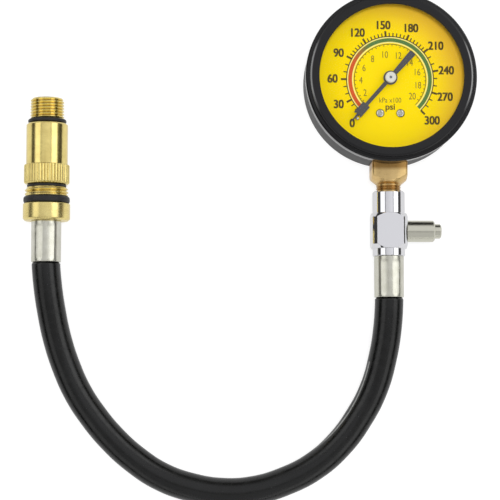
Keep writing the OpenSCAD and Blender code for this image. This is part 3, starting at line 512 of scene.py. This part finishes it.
def arc(print_mesh, inner, outer):
    """A line along the whole scale."""
    rows = []
    for k in range(ARC_STEPS + 1):
        angle = dial_angle(FULL_PSI * k / ARC_STEPS)
        rows.append([print_mesh.verts.new((*on_dial(r, angle), 0)) for r in (inner, outer)])
    for first, second in zip(rows, rows[1:]):
        print_mesh.faces.new((first[0], first[1], second[1], second[0]))


def lettering(print_mesh, words, place, height, squeeze, bold=None):
    """Adds words as flat faces: height is that of a figure and squeeze its width. Bold words are laid
    four times, moved by bold to each side, and each layer lies a little higher than the last."""
    curve = bpy.data.curves.new("words", "FONT")
    curve.body = words
    curve.align_x = "CENTER"
    curve.align_y = "CENTER"
    text = bpy.data.objects.new("words", curve)
    bpy.context.scene.collection.objects.link(text)
    flat = bpy.data.meshes.new_from_object(text.evaluated_get(bpy.context.evaluated_depsgraph_get()))
    middle = Vector(place)
    size = height / FIGURE_HEIGHT
    for vertex in flat.vertices:
        across, up, _ = vertex.co
        vertex.co = (middle.x + across * size * squeeze, middle.y + (up - FIGURE_MIDDLE) * size, 0)
    moves = [(0, 0)]
    if bold:
        aside, above = bold
        moves = [(-aside, -above), (aside, -above), (aside, above), (-aside, above)]
    for layer, (across, up) in enumerate(moves):
        laid = flat.copy()
        laid.transform(Matrix.Translation((across, up, layer * PRINT_LAYER)))
        print_mesh.from_mesh(laid)
        bpy.data.meshes.remove(laid)
    bpy.data.objects.remove(text)
    bpy.data.meshes.remove(flat)


def printed(name, print_mesh, material):
    """Raises flat print off the dial and seats it there as one piece."""
    bmesh.ops.remove_doubles(print_mesh, verts=print_mesh.verts, dist=PRINT_WELD)
    top = bmesh.ops.extrude_face_region(print_mesh, geom=print_mesh.faces[:])
    lifted = [v for v in top["geom"] if isinstance(v, bmesh.types.BMVert)]
    bmesh.ops.translate(print_mesh, verts=lifted, vec=(0, 0, PRINT_HEIGHT))
    bmesh.ops.scale(print_mesh, verts=print_mesh.verts, vec=(MM, MM, MM))
    bmesh.ops.translate(print_mesh, verts=print_mesh.verts, vec=(0, 0, dial_high.z))
    mesh = bpy.data.meshes.new(name)
    print_mesh.to_mesh(mesh)
    print_mesh.free()
    return seated(shown(name, mesh), material, "gauge", "dial_paint")


def dial_yellow():
    """Yellow with painted shade of the bezel: warmer and darker towards the dial's edge, most on the right
    and at the top.
    """
    material, place = new_material("dial_yellow")
    x, y, _ = place.axes()
    speckle = place.noise(0.25)
    # Painted shade of the bezel: the yellow turns warmer and darker towards the edge, most on the right and
    # at the top.
    outwards = distance(x, y) * 0.75 + x * 0.25 + y * 0.15 + speckle
    warm = outwards.step(0.5 * dial_radius, 1.02 * dial_radius)
    return finish(material, place.shader(
        base_color=warm.blend(linear(247, 214, 18), linear(252, 198, 60)),
        roughness=PRINT_ROUGHNESS + speckle * 0.1,
        specular_ior_level=0.08,
        normal=speckle.bump(height_mm=0.004, strength=0.3)))


def ink(name, colour):
    """Matt ink with a slight speckle."""
    material, place = new_material(name)
    speckle = place.noise(0.3)
    return finish(material, place.shader(
        base_color=speckle.step(0.3, 0.7).blend(linear(*colour), linear(*(c + 12 for c in colour))),
        roughness=PRINT_ROUGHNESS + speckle * 0.1))


def band_ink():
    """Red from zero that turns slowly to green from about 80 to 127 psi."""
    material, place = new_material("band_ink")
    x, y, _ = place.axes()
    from_top = place.maths("ARCTAN2", x, y)
    change = math.pi / 2 - dial_angle(TURN_PSI)
    turn = (from_top + place.noise(0.4) * 0.02).step(change - TURN_BEFORE, change + TURN_AFTER)
    return finish(material, place.shader(
        base_color=turn.blend(linear(206, 80, 28), linear(80, 117, 62)),
        roughness=PRINT_ROUGHNESS))


dress(dial_yellow(), "dial_plate")
scale_print = bmesh.new()
arc(scale_print, *PSI_LINE)
for psi in range(0, FULL_PSI + 1, FINE_TICK_PSI):
    if psi % STEP_PSI == 0:
        tick(scale_print, psi, *LONG_TICK)
    elif psi % TICK_PSI == 0 or FINE_RANGE[0] < psi < FINE_RANGE[1]:
        tick(scale_print, psi, *SHORT_TICK)
for number, place in enumerate(psi_places):
    lettering(scale_print, str(number * STEP_PSI), place, height=3.4, squeeze=0.88, bold=(0.17, 0.11))
lettering(scale_print, "psi", (0, -11.8), height=2.6, squeeze=1.02, bold=(0.09, 0.05))
printed("psi_scale", scale_print, ink("scale_ink", (76, 59, 10)))

kpa_print = bmesh.new()
arc(kpa_print, *KPA_LINE)
for half in range(KPA_HALVES + 1):
    tick(kpa_print, half * KPA_100 / 2, *(KPA_LONG_TICK if half % 2 == 0 else KPA_SHORT_TICK))
for number, place in enumerate(kpa_places):
    lettering(kpa_print, str(2 * number + 2), place, height=2.8, squeeze=0.76)
lettering(kpa_print, "kPa x100", (0, -9.1), height=2.1, squeeze=0.84)
printed("kpa_scale", kpa_print, ink("kpa_ink", (104, 87, 24)))

band_print = bmesh.new()
arc(band_print, *COLOUR_BAND)
printed("colour_band", band_print, band_ink())
edge_print = bmesh.new()
for edge in BAND_EDGES:
    arc(edge_print, *edge)
printed("band_edges", edge_print, ink("band_edge_ink", (232, 222, 140)))


# Dial screws and stop pin: two nickel-plated pan-head screws hold the dial on its posts, and a plain pin
# riveted in the dial stops the pointer at zero.
HEAD_RADIUS = 1.75
HEAD_HEIGHT = 1.1
HEAD_DOME = 0.55
DOME_STEPS = 24
SHANK_RADIUS = 0.8
CROSS_REACH = 1.05
CROSS_HALF_WIDTH = 0.2
CROSS_DEPTH = 0.6
CROSS_TAPER = 0.6
screw_low, screw_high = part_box("dial_screws")
screw_nickel = bright_steel("screw_nickel", (216, 214, 208), roughness=0.16, line_mm=0.35)


def cross_recess(station, radius, angle):
    """Sinks a cross in the top of a screw head."""
    along = radius * max(abs(math.cos(angle)), abs(math.sin(angle)))
    across = radius * min(abs(math.cos(angle)), abs(math.sin(angle)))
    if station > HEAD_HEIGHT * 0.6 and across < CROSS_HALF_WIDTH and along < CROSS_REACH:
        station -= CROSS_DEPTH * (1 - CROSS_TAPER * along / CROSS_REACH)
    return station, radius


shank = (dial_high.z - screw_low.z) / MM
dome = []
for k in range(DOME_STEPS + 1):
    dome.append((HEAD_HEIGHT * (1 - HEAD_DOME * (k / DOME_STEPS) ** 3), HEAD_RADIUS * k / DOME_STEPS))
screw_outline = dome + [
    (HEAD_HEIGHT * 0.3, HEAD_RADIUS), (0.0, HEAD_RADIUS * 0.98), (0.0, SHANK_RADIUS),
    (-shank, SHANK_RADIUS), (-shank, 0.0)]
heads = []
for centre_x in (screw_low.x + HEAD_RADIUS * MM, screw_high.x - HEAD_RADIUS * MM):
    centre = (centre_x, (screw_low.y + screw_high.y) / 2, dial_high.z)
    head = turned("dial_screw_" + str(len(heads)), screw_outline, centre, (0, 0, 1), sides=128,
                  swell=cross_recess, closed=False)
    heads.append(seated(head, screw_nickel, "gauge", "chrome"))
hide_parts("dial_screws")
dress(screw_nickel, "stop_pin")


# Pointer and hub: a thin stamped blade in satin grey paint, riveted on a turned hub that is pressed on
# the pinion's arbor.
RING_RADIANS_PER_MM = 22.0


def pointer_grey():
    """Satin paint with a fine grain."""
    material, place = new_material("pointer_grey")
    grain = place.noise(0.35, detail=3)
    return finish(material, place.shader(
        base_color=grain.step(0.3, 0.7).blend(linear(66, 66, 71), linear(78, 78, 84)),
        roughness=0.42 + grain * 0.15,
        normal=grain.bump(height_mm=0.006, strength=0.4, edge_mm=0.12)))


def hub_white():
    """Bright turned metal with rings round the axis."""
    material, place = new_material("hub_white")
    x, y, _ = place.axes()
    rings = place.maths("SINE", distance(x, y) * RING_RADIANS_PER_MM) * 0.5 + 0.5
    return finish(material, place.shader(
        base_color=rings.blend(linear(204, 202, 198), linear(238, 236, 232)),
        metallic=0.35,
        roughness=0.3 + rings * 0.12,
        normal=rings.bump(height_mm=0.02, strength=0.35)))


dress(pointer_grey(), "pointer")
dress(hub_white(), "pointer_hub")


# Gasket, lens and bezel: a clear window on a rubber ring, clamped by a pressed steel ring in gloss black
# enamel. The ring has a flat face and steps down over a rounded edge to its rim.
BEZEL_WIDTH = 5.6
BEZEL_ROUNDING = 0.2
LENS_CLEARANCE = 0.04
# Radius of the painted sheen on the bezel's rounded edge.
SHEEN_RADIUS = 33.2


def clear_window():
    """A thin clear pane that mirrors a little, more at a flat angle."""
    material, place = new_material("clear_window")
    faint = place.noise(12)
    gloss = place.shader(base_color=(1, 1, 1, 1), metallic=1.0, roughness=0.03)
    open_air = place.make("BsdfTransparent", {}, {"Color": (0.985, 0.99, 0.985, 1)})
    slant = place.make("LayerWeight", {}, {"Blend": 0.5}, take="Facing")
    mirrored = slant * slant * slant * slant * 0.8 + faint * 0.004
    return finish(material, place.make("MixShader", {}, {0: mirrored, 1: open_air, 2: gloss}))


def black_rubber(name, colour, roughness, grain_mm, relief_mm=0.02, printed_on=None):
    """Moulded rubber with a fine grain, a slight unevenness and a faint bloom in patches. A function of
    the place and the rubber's colour adds what is printed on it."""
    material, place = new_material(name)
    grain = place.noise(grain_mm, detail=3)
    bloom = place.noise(14, detail=3).step(0.35, 0.75)
    uneven = place.noise(grain_mm * 6, detail=3)
    tone = bloom.blend(linear(*colour), linear(*(c + 6 for c in colour)))
    if printed_on:
        tone = printed_on(place, tone)
    return finish(material, place.shader(
        base_color=tone,
        roughness=roughness + grain * 0.1 + uneven.step(0.4, 0.7) * 0.1,
        specular_ior_level=0.47,
        normal=(grain + uneven * 2.0).bump(relief_mm, strength=0.3)))


gloss_enamel = black_enamel("gloss_enamel", (14, 14, 16), roughness=0.12, shine=0.42,
                            sheen_radius=SHEEN_RADIUS)
seal_rubber = black_rubber("seal_rubber", (30, 29, 30), roughness=0.42, grain_mm=0.3)
dress(seal_rubber, "lens_gasket")
dress(clear_window(), "lens")
nodes["lens"].visible_shadow = False

bezel_low, bezel_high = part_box("bezel")
lens_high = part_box("lens")[1]
front = bezel_high.z / MM
glass = lens_high.z / MM
skirt = bezel_low.z / MM
rim = bezel_high.x / MM
opening = rim - BEZEL_WIDTH
seat = lens_high.x / MM + LENS_CLEARANCE
bezel_outline = eased([
    (glass, opening), (front - 0.05, opening + 0.02), (front, opening + 0.3), (front, rim - 2.45),
    (front - 0.3, rim - 1.8), (front - 1.3, rim - 1.6), (front - 1.4, rim - 0.6),
    (front - 2.0, rim), (skirt, rim), (skirt, seat), (glass, seat)], BEZEL_ROUNDING)
bezel = turned("stepped_bezel", bezel_outline, (0, 0, 0), (0, 0, 1), sides=256)
seated(bezel, gloss_enamel, "gauge", "black_enamel", "bezel")


# Tee: a brass forging, turned and milled to a square block, then polished and chromed. It screws on the
# neck, takes the release valve in its side and ends in the hose barb.
def mirror_chrome():
    """Polished plate with a faint haze, over metal that isn't quite even."""
    material, place = new_material("mirror_chrome")
    haze = place.noise(5, detail=3)
    wave = place.noise(2.4)
    return finish(material, place.shader(
        base_color=(*linear(230, 230, 233), 1),
        metallic=1.0,
        roughness=0.035 + haze * 0.05,
        normal=wave.bump(height_mm=0.006, strength=0.4, edge_mm=0.22)))


dress(mirror_chrome(), "tee_body")


# Release valve: a nickel-plated sleeve screwed into the tee guides a button on a spring. Pushing the
# button lifts a rubber washer off its seat and lets the pressure out.
RELEASE_TRAVEL = 1.8
RINGS_PER_TURN = 24
WIRE_SIDES = 10
satin_nickel = bright_steel("satin_nickel", (212, 211, 196), roughness=0.2, line_mm=0.4)
dress(satin_nickel, "valve_sleeve", "release_button")
dress(seal_rubber, "release_seal")


def coil(name, centre, along, coil_radius, wire_radius, length, turns):
    """A coil spring as one tube along a helix, with its two ends closed."""
    lean = Vector((0, 0, 1)).rotation_difference(Vector(along)).to_matrix()
    rings = turns * RINGS_PER_TURN
    sides = WIRE_SIDES
    points = []
    for i in range(rings + 1):
        turn = 2 * math.pi * turns * i / rings
        out = Vector((math.cos(turn), math.sin(turn), 0))
        middle = out * coil_radius + Vector((0, 0, length * i / rings))
        for k in range(sides):
            around = 2 * math.pi * k / sides
            offset = out * math.cos(around) + Vector((0, 0, 1)) * math.sin(around)
            points.append(Vector(centre) + lean @ ((middle + offset * wire_radius) * MM))
    faces = [tuple(range(sides)), tuple(rings * sides + k for k in reversed(range(sides)))]
    for i in range(rings):
        for k in range(sides):
            n = (k + 1) % sides
            faces.append((i * sides + k, (i + 1) * sides + k, (i + 1) * sides + n, i * sides + n))
    mesh = bpy.data.meshes.new(name)
    mesh.from_pydata(points, [], faces)
    return shown(name, mesh)


def fitted_coil(name, node, axis, wire_radius, turns, travel):
    """A coil in the place of a CAD spring."""
    low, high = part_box(node)
    middle = (low + high) / 2
    lowest = sum(low[i] * axis[i] for i in range(3))
    highest = sum(high[i] * axis[i] for i in range(3))
    length = abs(highest - lowest) / MM
    widest = max((high[i] - low[i]) / MM for i in range(3) if not axis[i])
    foot = Vector([middle[i] - axis[i] * (length / 2 - wire_radius) * MM for i in range(3)])
    spring = coil(name, foot, axis, widest / 2 - wire_radius, wire_radius, length - 2 * wire_radius, turns)
    seated(spring, spring_steel, "gauge", "spring_steel", node)
    1 - travel / length
    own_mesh(spring)


fitted_coil("button_spring", "release_spring", (1, 0, 0), wire_radius=0.25, turns=5,
            travel=RELEASE_TRAVEL)


# Ferrules: bright plated steel tubes that hold the hose on its two barbs. Eight jaws have crimped them,
# which leaves a round end and long flats.
FERRULE_RADIUS = 6.2
FERRULE_BORE = 5.4
FERRULE_TAPER = 0.05
FERRULE_ROUNDING = 0.3
CRIMP_FLAT = 5.95
CRIMP_SHARE = 0.5
CRIMP_JAWS = 8
CRIMP_STEP = 0.25
# The crimp starts and stops this far from the tube's ends, and its depth fades in and out.
CRIMP_START = 1.2
CRIMP_END = 0.7
START_FADE = 1.6
END_FADE = 1.0


def crimp(start, end):
    """Presses flats into the wall between two stations, fading out at both."""
    def press(station, radius, angle):
        if radius > FERRULE_BORE + 0.1:
            share = min(1, max(0, (station - start) / START_FADE), max(0, (end - station) / END_FADE))
            depth = share * share * (3 - 2 * share)
            jaw = 2 * math.pi / CRIMP_JAWS
            turn = angle % jaw - jaw / 2
            flat = CRIMP_FLAT / math.cos(turn)
            radius = radius + depth * CRIMP_SHARE * (min(radius, flat) - radius)
        return station, radius
    return press


def zinc_plate():
    """Bright plating with a warm haze and the long drag marks of the crimping jaws."""
    material, place = new_material("zinc_plate")
    drag = place.scaled(1, 0.04, 1).noise(0.5, detail=3)
    cloud = place.noise(3, detail=3)
    return finish(material, place.shader(
        base_color=cloud.step(0.2, 0.8).blend(linear(208, 207, 192), linear(224, 223, 211)),
        metallic=1.0,
        roughness=0.22 + drag * 0.14,
        normal=drag.bump(height_mm=0.006, strength=0.3)))


ferrule_plate = zinc_plate()
for node in ("gauge_ferrule", "far_ferrule"):
    low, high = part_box(node)
    length = (high.y - low.y) / MM
    outline = stations(eased([
        (0, FERRULE_BORE), (0, FERRULE_RADIUS), (length, FERRULE_RADIUS - FERRULE_TAPER),
        (length, FERRULE_BORE)], FERRULE_ROUNDING), CRIMP_STEP, (0, length, FERRULE_BORE))
    centre = ((low.x + high.x) / 2, high.y, (low.z + high.z) / 2)
    ferrule = turned("crimped_" + node, outline, centre, (0, -1, 0), sides=192,
                     swell=crimp(CRIMP_START, length - CRIMP_END))
    seated(ferrule, ferrule_plate, "gauge", "nickel", node)


# Hose: a smooth black rubber hose over a braid, nearly 12 mm thick. It runs straight out of the gauge's
# ferrule, sinks to the table, lies there in one wide loop and rises into the plug end's ferrule.
HOSE_DIAMETER = 11.9
HOSE_SQUEEZED = 10.6
HOSE_HELD = 16.75
SQUEEZE_END = 0.05
STRAIGHT_END = 0.85
# A thin pale line is printed along the loop: an arc about a centre, which drifts inwards as it turns.
STRIPE_COLOUR = (138, 139, 136)
STRIPE_CENTRE = (-69, -107)
STRIPE_RADIUS = 61.7
STRIPE_DRIFT = 2.2
STRIPE_START = 0.16
STRIPE_END = 0.95
STRIPE_FADE = 0.3
hose_route = [
    (-0.6, -102, 9.6), (-2.6, -115, 8.5), (-6.4, -128.4, 7.2), (-12.5, -140.2, 6.3), (-20.6, -151.1, 6.1),
    (-31.2, -160.3, 6.1), (-43.1, -166.4, 6.1), (-56, -170.2, 6.1), (-69, -171, 6.1), (-82, -169, 6.1),
    (-94.4, -164.6, 6.1), (-105.3, -157.6, 6.1), (-114.8, -149.1, 6.1), (-122.7, -139.8, 6.1),
    (-129.2, -130, 6.1), (-134.2, -119, 6.5), (-137.9, -107.5, 7.5), (-140.3, -96, 8.7), (-141.9, -85, 9.5)]
gauge_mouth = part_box("gauge_ferrule")[0].y / MM
far_low, far_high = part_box("far_ferrule")
plug_mouth = far_low.y / MM
plug_x = (far_low.x + far_high.x) / 2 / MM
plug_z = (far_low.z + far_high.z) / 2 / MM
hose_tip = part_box("hose")[1].y / MM
near_stub = [(0, gauge_mouth + HOSE_HELD, STEM_HEIGHT), (0, gauge_mouth - SQUEEZE_END, STEM_HEIGHT),
             (0, gauge_mouth - STRAIGHT_END, STEM_HEIGHT)]
far_stub = [(plug_x, plug_mouth - STRAIGHT_END, plug_z), (plug_x, plug_mouth - SQUEEZE_END, plug_z),
            (plug_x, hose_tip, plug_z)]
line = near_stub + hose_route + far_stub
hose_curve = bpy.data.curves.new("rubber_hose", "CURVE")
hose_curve.dimensions = "3D"
hose_curve.resolution_u = 12
hose_curve.bevel_depth = HOSE_DIAMETER / 2 * MM
hose_curve.bevel_resolution = 10
hose_curve.use_fill_caps = True
spline = hose_curve.splines.new("BEZIER")
spline.bezier_points.add(len(line) - 1)
for i, (knot, point) in enumerate(zip(spline.bezier_points, line)):
    knot.co = Vector(point) * MM
    knot.handle_left_type = "AUTO"
    knot.handle_right_type = "AUTO"
    knot.radius = HOSE_SQUEEZED / HOSE_DIAMETER if i < 2 or i > len(line) - 3 else 1.0
hose = bpy.data.objects.new("rubber_hose", hose_curve)
bpy.context.scene.collection.objects.link(hose)


def thin_stripe(place, rubber):
    """The rubber's colour with a hair-thin worn stripe on the inner side of the loop, which starts
    where the hose leaves the gauge and fades out."""
    x, y, z = place.axes()
    east = x - STRIPE_CENTRE[0]
    south = STRIPE_CENTRE[1] - y
    turn = place.maths("ARCTAN2", south, east)
    aside = abs(distance(east, south) + turn * STRIPE_DRIFT - STRIPE_RADIUS)
    worn = place.noise(1.2).step(0.15, 0.5)
    begins = turn.step(STRIPE_START, STRIPE_START + 0.01)
    fades = 1.0 - turn.step(STRIPE_END - STRIPE_FADE, STRIPE_END)
    on_top = z.step(7.0, 7.4)
    stripe = (1.0 - aside.step(0.12, 0.3)) * (begins * fades) * worn * on_top
    return stripe.blend(rubber, linear(*STRIPE_COLOUR))


hose_rubber = black_rubber("hose_rubber", (9, 10, 10), roughness=0.18, grain_mm=0.5, relief_mm=0.06,
                           printed_on=thin_stripe)
seated(hose, hose_rubber, "gauge", "hose_rubber", "hose")


# Hose end and its seals: a turned brass fitting with a plain collar, an 18 mm plug thread and a 14 mm
# spigot under the adapter. Two black O-rings sit in the grooves beside the thread.
LARGE_PITCH = 1.5
LARGE_DEPTH = 0.85
LARGE_RADIUS = 9.0
LARGE_CORE = 8.0
LARGE_LENGTH = 3.6
SMALL_PITCH = 1.25
SMALL_DEPTH = 0.7
SMALL_RADIUS = 7.0
SMALL_CORE = 6.0
THREAD_CHAMFER = 0.8
THREAD_STEP = 0.12
TURNED_ROUNDING = 0.12
GAS_BORE = 1.5
BARB_LENGTH = 15.95
BARB_RADIUS = 2.75
BARB_CREST = 2.9
BARB_SPACING = 3.99
BARB_SLOPE = 3.19
COLLAR_LENGTH = 7.15
COLLAR_CHAMFER = 0.8
COLLAR_EDGE = 0.3
COLLAR_GROOVE = 3.1
COLLAR_GROOVE_RADIUS = 7.0
SPIGOT_GROOVE = 1.45
SPIGOT_GROOVE_RADIUS = 5.95
VALVE_BORE = 3.02
VALVE_DEPTH = 11.5
turned_brass = machined_brass("turned_brass", (250, 231, 154), (168, 134, 66), roughness=0.27)
end_low, end_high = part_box("hose_end")
collar_radius = (end_high.x - end_low.x) / 2 / MM
collar_top = BARB_LENGTH + COLLAR_LENGTH
thread_start = collar_top + COLLAR_GROOVE
thread_end = thread_start + LARGE_LENGTH
spigot_start = thread_end + SPIGOT_GROOVE
spigot_end = (end_high.y - end_low.y) / MM
large_thread = (thread_start, thread_end, LARGE_CORE)
small_thread = (spigot_start, spigot_end, SMALL_CORE)
barb = [(0, GAS_BORE), (0, BARB_RADIUS)]
for k in (3, 2, 1):
    crest = BARB_LENGTH - k * BARB_SPACING
    barb += [(crest - BARB_SLOPE, BARB_RADIUS), (crest, BARB_CREST), (crest + 0.05, BARB_RADIUS)]
collar = [
    (BARB_LENGTH, BARB_RADIUS), (BARB_LENGTH, collar_radius - COLLAR_CHAMFER),
    (BARB_LENGTH + COLLAR_CHAMFER, collar_radius), (collar_top - COLLAR_EDGE, collar_radius),
    (collar_top, collar_radius - COLLAR_EDGE), (collar_top, COLLAR_GROOVE_RADIUS)]
large_end = [
    (thread_start, COLLAR_GROOVE_RADIUS), (thread_start, LARGE_RADIUS - 0.3),
    (thread_start + 0.3, LARGE_RADIUS), (thread_end - THREAD_CHAMFER, LARGE_RADIUS),
    (thread_end, LARGE_RADIUS - THREAD_CHAMFER), (thread_end, SPIGOT_GROOVE_RADIUS)]
spigot = [
    (spigot_start, SPIGOT_GROOVE_RADIUS), (spigot_start, SMALL_RADIUS - 0.4),
    (spigot_start + 0.4, SMALL_RADIUS), (spigot_end - THREAD_CHAMFER, SMALL_RADIUS),
    (spigot_end, SMALL_RADIUS - THREAD_CHAMFER)]
valve_bore = [(spigot_end, VALVE_BORE), (spigot_end - VALVE_DEPTH, VALVE_BORE),
              (spigot_end - VALVE_DEPTH, GAS_BORE)]
end_outline = stations(eased(barb + collar + large_end + spigot + valve_bore, TURNED_ROUNDING),
                       THREAD_STEP, large_thread, small_thread)
large_cut = thread(LARGE_PITCH, LARGE_DEPTH, *large_thread)
small_cut = thread(SMALL_PITCH, SMALL_DEPTH, *small_thread)


def both_threads(station, radius, angle):
    return small_cut(*large_cut(station, radius, angle), angle)


hose_end = turned("threaded_hose_end", end_outline, (plug_x * MM, end_low.y, plug_z * MM), (0, 1, 0),
                  sides=144, swell=both_threads)
seated(hose_end, turned_brass, "gauge", "bright_brass", "hose_end")
dress(seal_rubber, "collar_seal", "spigot_seal")


# Check valve: a small brass core screwed into the spigot, whose sprung pin and rubber washer hold the
# highest pressure in the hose until the button lets it out.
CHECK_TRAVEL = 1.0
dress(inner_brass, "check_valve_body")
dress(screw_nickel, "check_valve_pin")
dress(seal_rubber, "check_valve_seal")
fitted_coil("valve_spring", "check_valve_spring", (0, 1, 0), wire_radius=0.175, turns=5,
            travel=CHECK_TRAVEL)


# Adapter and its seal: a long turned brass sleeve that screws on the spigot, with a straight-knurled grip,
# an O-ring in a groove and the 14 mm plug thread.
KNURL_RIDGES = 40
KNURL_DEPTH = 0.35
KNURL_LENGTH = 8.05
KNURL_CHAMFER = 0.62
KNURL_EDGE = 0.25
REACH_LENGTH = 17.5
REACH_RADIUS = 8.6
REACH_CHAMFER = 0.8
PLUG_GROOVE = 1.7
PLUG_GROOVE_RADIUS = 5.5
SLEEVE_BORE = 7.05
SLEEVE_DEPTH = 10.45
PLUG_HOLE = 2.5
bright_brass = machined_brass("bright_brass", (250, 230, 148), (168, 132, 60), roughness=0.2)
adapter_low, adapter_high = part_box("adapter")
plug_end = (adapter_high.y - adapter_low.y) / MM
knurl_radius = (adapter_high.x - adapter_low.x) / 2 / MM
reach_end = KNURL_LENGTH + REACH_LENGTH
plug_start = reach_end + PLUG_GROOVE
plug_thread = (plug_start, plug_end, SMALL_CORE)
grip = [
    (0, SLEEVE_BORE), (0, knurl_radius - KNURL_CHAMFER), (KNURL_CHAMFER, knurl_radius),
    (KNURL_LENGTH - KNURL_EDGE, knurl_radius), (KNURL_LENGTH, knurl_radius - KNURL_EDGE)]
reach = [
    (KNURL_LENGTH, REACH_RADIUS), (reach_end - REACH_CHAMFER, REACH_RADIUS),
    (reach_end, REACH_RADIUS - REACH_CHAMFER), (reach_end, PLUG_GROOVE_RADIUS)]
plug = [
    (plug_start, PLUG_GROOVE_RADIUS), (plug_start, SMALL_RADIUS - 0.4), (plug_start + 0.4, SMALL_RADIUS),
    (plug_end - THREAD_CHAMFER, SMALL_RADIUS), (plug_end, SMALL_RADIUS - THREAD_CHAMFER)]
sleeve = [(plug_end, PLUG_HOLE), (SLEEVE_DEPTH, PLUG_HOLE), (SLEEVE_DEPTH, SLEEVE_BORE)]
adapter_outline = stations(eased(grip + reach + plug + sleeve, TURNED_ROUNDING), THREAD_STEP, plug_thread)
plug_cut = thread(SMALL_PITCH, SMALL_DEPTH, *plug_thread)


def knurl_and_thread(station, radius, angle):
    """Presses straight ridges into the grip and cuts the plug thread."""
    if station < KNURL_LENGTH and radius > REACH_RADIUS + 0.01:
        ridge = abs(math.sin(angle * KNURL_RIDGES / 2))
        radius = max(REACH_RADIUS, radius - KNURL_DEPTH * (1 - ridge) ** 1.5)
    return plug_cut(station, radius, angle)


adapter = turned("knurled_adapter", adapter_outline, (plug_x * MM, adapter_low.y, plug_z * MM), (0, 1, 0),
                 sides=KNURL_RIDGES * 8, swell=knurl_and_thread)
seated(adapter, bright_brass, "adapter", "bright_brass", "adapter")
dress(seal_rubber, "adapter_seal")


# Table, light and camera: a white table under a light tent of pale walls with two bright strips, and a
# long lens almost straight above.
TABLE_REACH = 6
TABLE_DROP = 0.0003
TENT_TOP = (0.8, 0.8, 0.82)
TENT_SEAM = (0.25, 0.25, 0.26)
TENT_STRIP = (1.5, 1.5, 1.5)
TENT_FOOT = (0.06, 0.06, 0.06)
TENT_SHADOW = (0.1, 0.095, 0.08)
WHITE = (1, 1, 1)
AIM = Vector((-0.0577, -0.0700, 0))


def white_table():
    """White for what the camera sees, straight or in metal or glass, and plain board for other light."""
    material, place = new_material("white_table")
    fibre = place.noise(2, detail=3)
    straight = place.make("LightPath", take="Is Camera Ray")
    mirrored = straight.other("Is Glossy Ray")
    seen = place.maths("MAXIMUM", straight + mirrored, straight.other("Is Transmission Ray"))
    lit = place.make("BsdfDiffuse", {}, {"Color": fibre.blend((0.26, 0.26, 0.26), (0.28, 0.28, 0.28))})
    glow = place.make("Emission", {}, {"Color": mirrored.blend((0.8, 0.8, 0.8), (0.55, 0.55, 0.55))})
    both = place.make("AddShader", {}, {0: lit, 1: glow})
    plain = place.make("BsdfDiffuse", {}, {"Color": (0.8, 0.8, 0.8, 1)})
    return finish(material, place.make("MixShader", {}, {0: seen, 1: plain, 2: both}))


table_mesh = bpy.data.meshes.new("table_top")
table_corners = [(x * TABLE_REACH, y * TABLE_REACH, -TABLE_DROP)
                 for x, y in ((-1, -1), (1, -1), (1, 1), (-1, 1))]
table_mesh.from_pydata(table_corners, [], [(0, 1, 2, 3)])
table_mesh.materials.append(white_table())
table_top = bpy.data.objects.new("table_top", table_mesh)
bpy.context.scene.collection.objects.link(table_top)
table_top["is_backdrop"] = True

world = bpy.data.worlds.new("light_tent")
bpy.context.scene.world = world
world.use_nodes = True
tent = world.node_tree
tent.nodes.clear()
sight = Shade(tent, tent.nodes.new("ShaderNodeTexCoord").outputs["Generated"])
across, along, up = sight.axes()
sideways = abs(sight.maths("ARCTAN2", across, up)) / (math.pi / 2)
lengthways = sight.maths("ARCTAN2", along, up) / (math.pi / 2)
panels = sight.make("ValToRGB", {"stops": [
    (0.0, TENT_TOP), (0.28, TENT_TOP), (0.3, TENT_SEAM), (0.335, TENT_SEAM),
    (0.36, TENT_STRIP), (0.69, TENT_STRIP), (0.75, TENT_FOOT), (1.0, TENT_FOOT)]}, {0: sideways})
brighter_right = across.step(-0.7, 0.7) * 0.3 + 0.85
panels = sight.make("VectorMath", {"operation": "SCALE"}, {0: panels, "Scale": brighter_right})
far_wall = lengthways.step(0.55, 0.8) * 0.85
near_wall = (0.0 - lengthways).step(0.03, 0.2) * 0.28
camera_gap = (1.0 - abs(lengthways + 0.08).step(0.03, 0.1)) * 0.5
walls = (far_wall + near_wall + camera_gap).blend(panels, TENT_SHADOW)
backdrop = sight.make("LightPath", take="Is Camera Ray").blend(walls, WHITE)
sky = sight.make("Background", {}, {"Color": backdrop, "Strength": 1.0})
world_output = tent.nodes.new("ShaderNodeOutputWorld")
tent.links.new(sky.output, world_output.inputs["Surface"])

key_light = bpy.data.lights.new("key", "AREA")
key_light.size = 0.25
key_light.energy = 5.8
key = bpy.data.objects.new("key", key_light)
key.location = (-0.05, -0.08, 1.2)
key.visible_glossy = False
bpy.context.scene.collection.objects.link(key)

camera_data = bpy.data.cameras.new("camera")
camera_data.sensor_width = 36
camera_data.lens = 112.9
camera = bpy.data.objects.new("camera", camera_data)
camera.location = (-0.0707, -0.1199, 0.6607)
back = (camera.location - AIM).normalized()
right = Vector((0, 1, 0)).cross(back).normalized()
camera.rotation_euler = Matrix((right, back.cross(right), back)).transposed().to_euler()
bpy.context.scene.collection.objects.link(camera)
bpy.context.scene.camera = camera
bpy.context.scene.view_settings.view_transform = "Standard"

low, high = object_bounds()
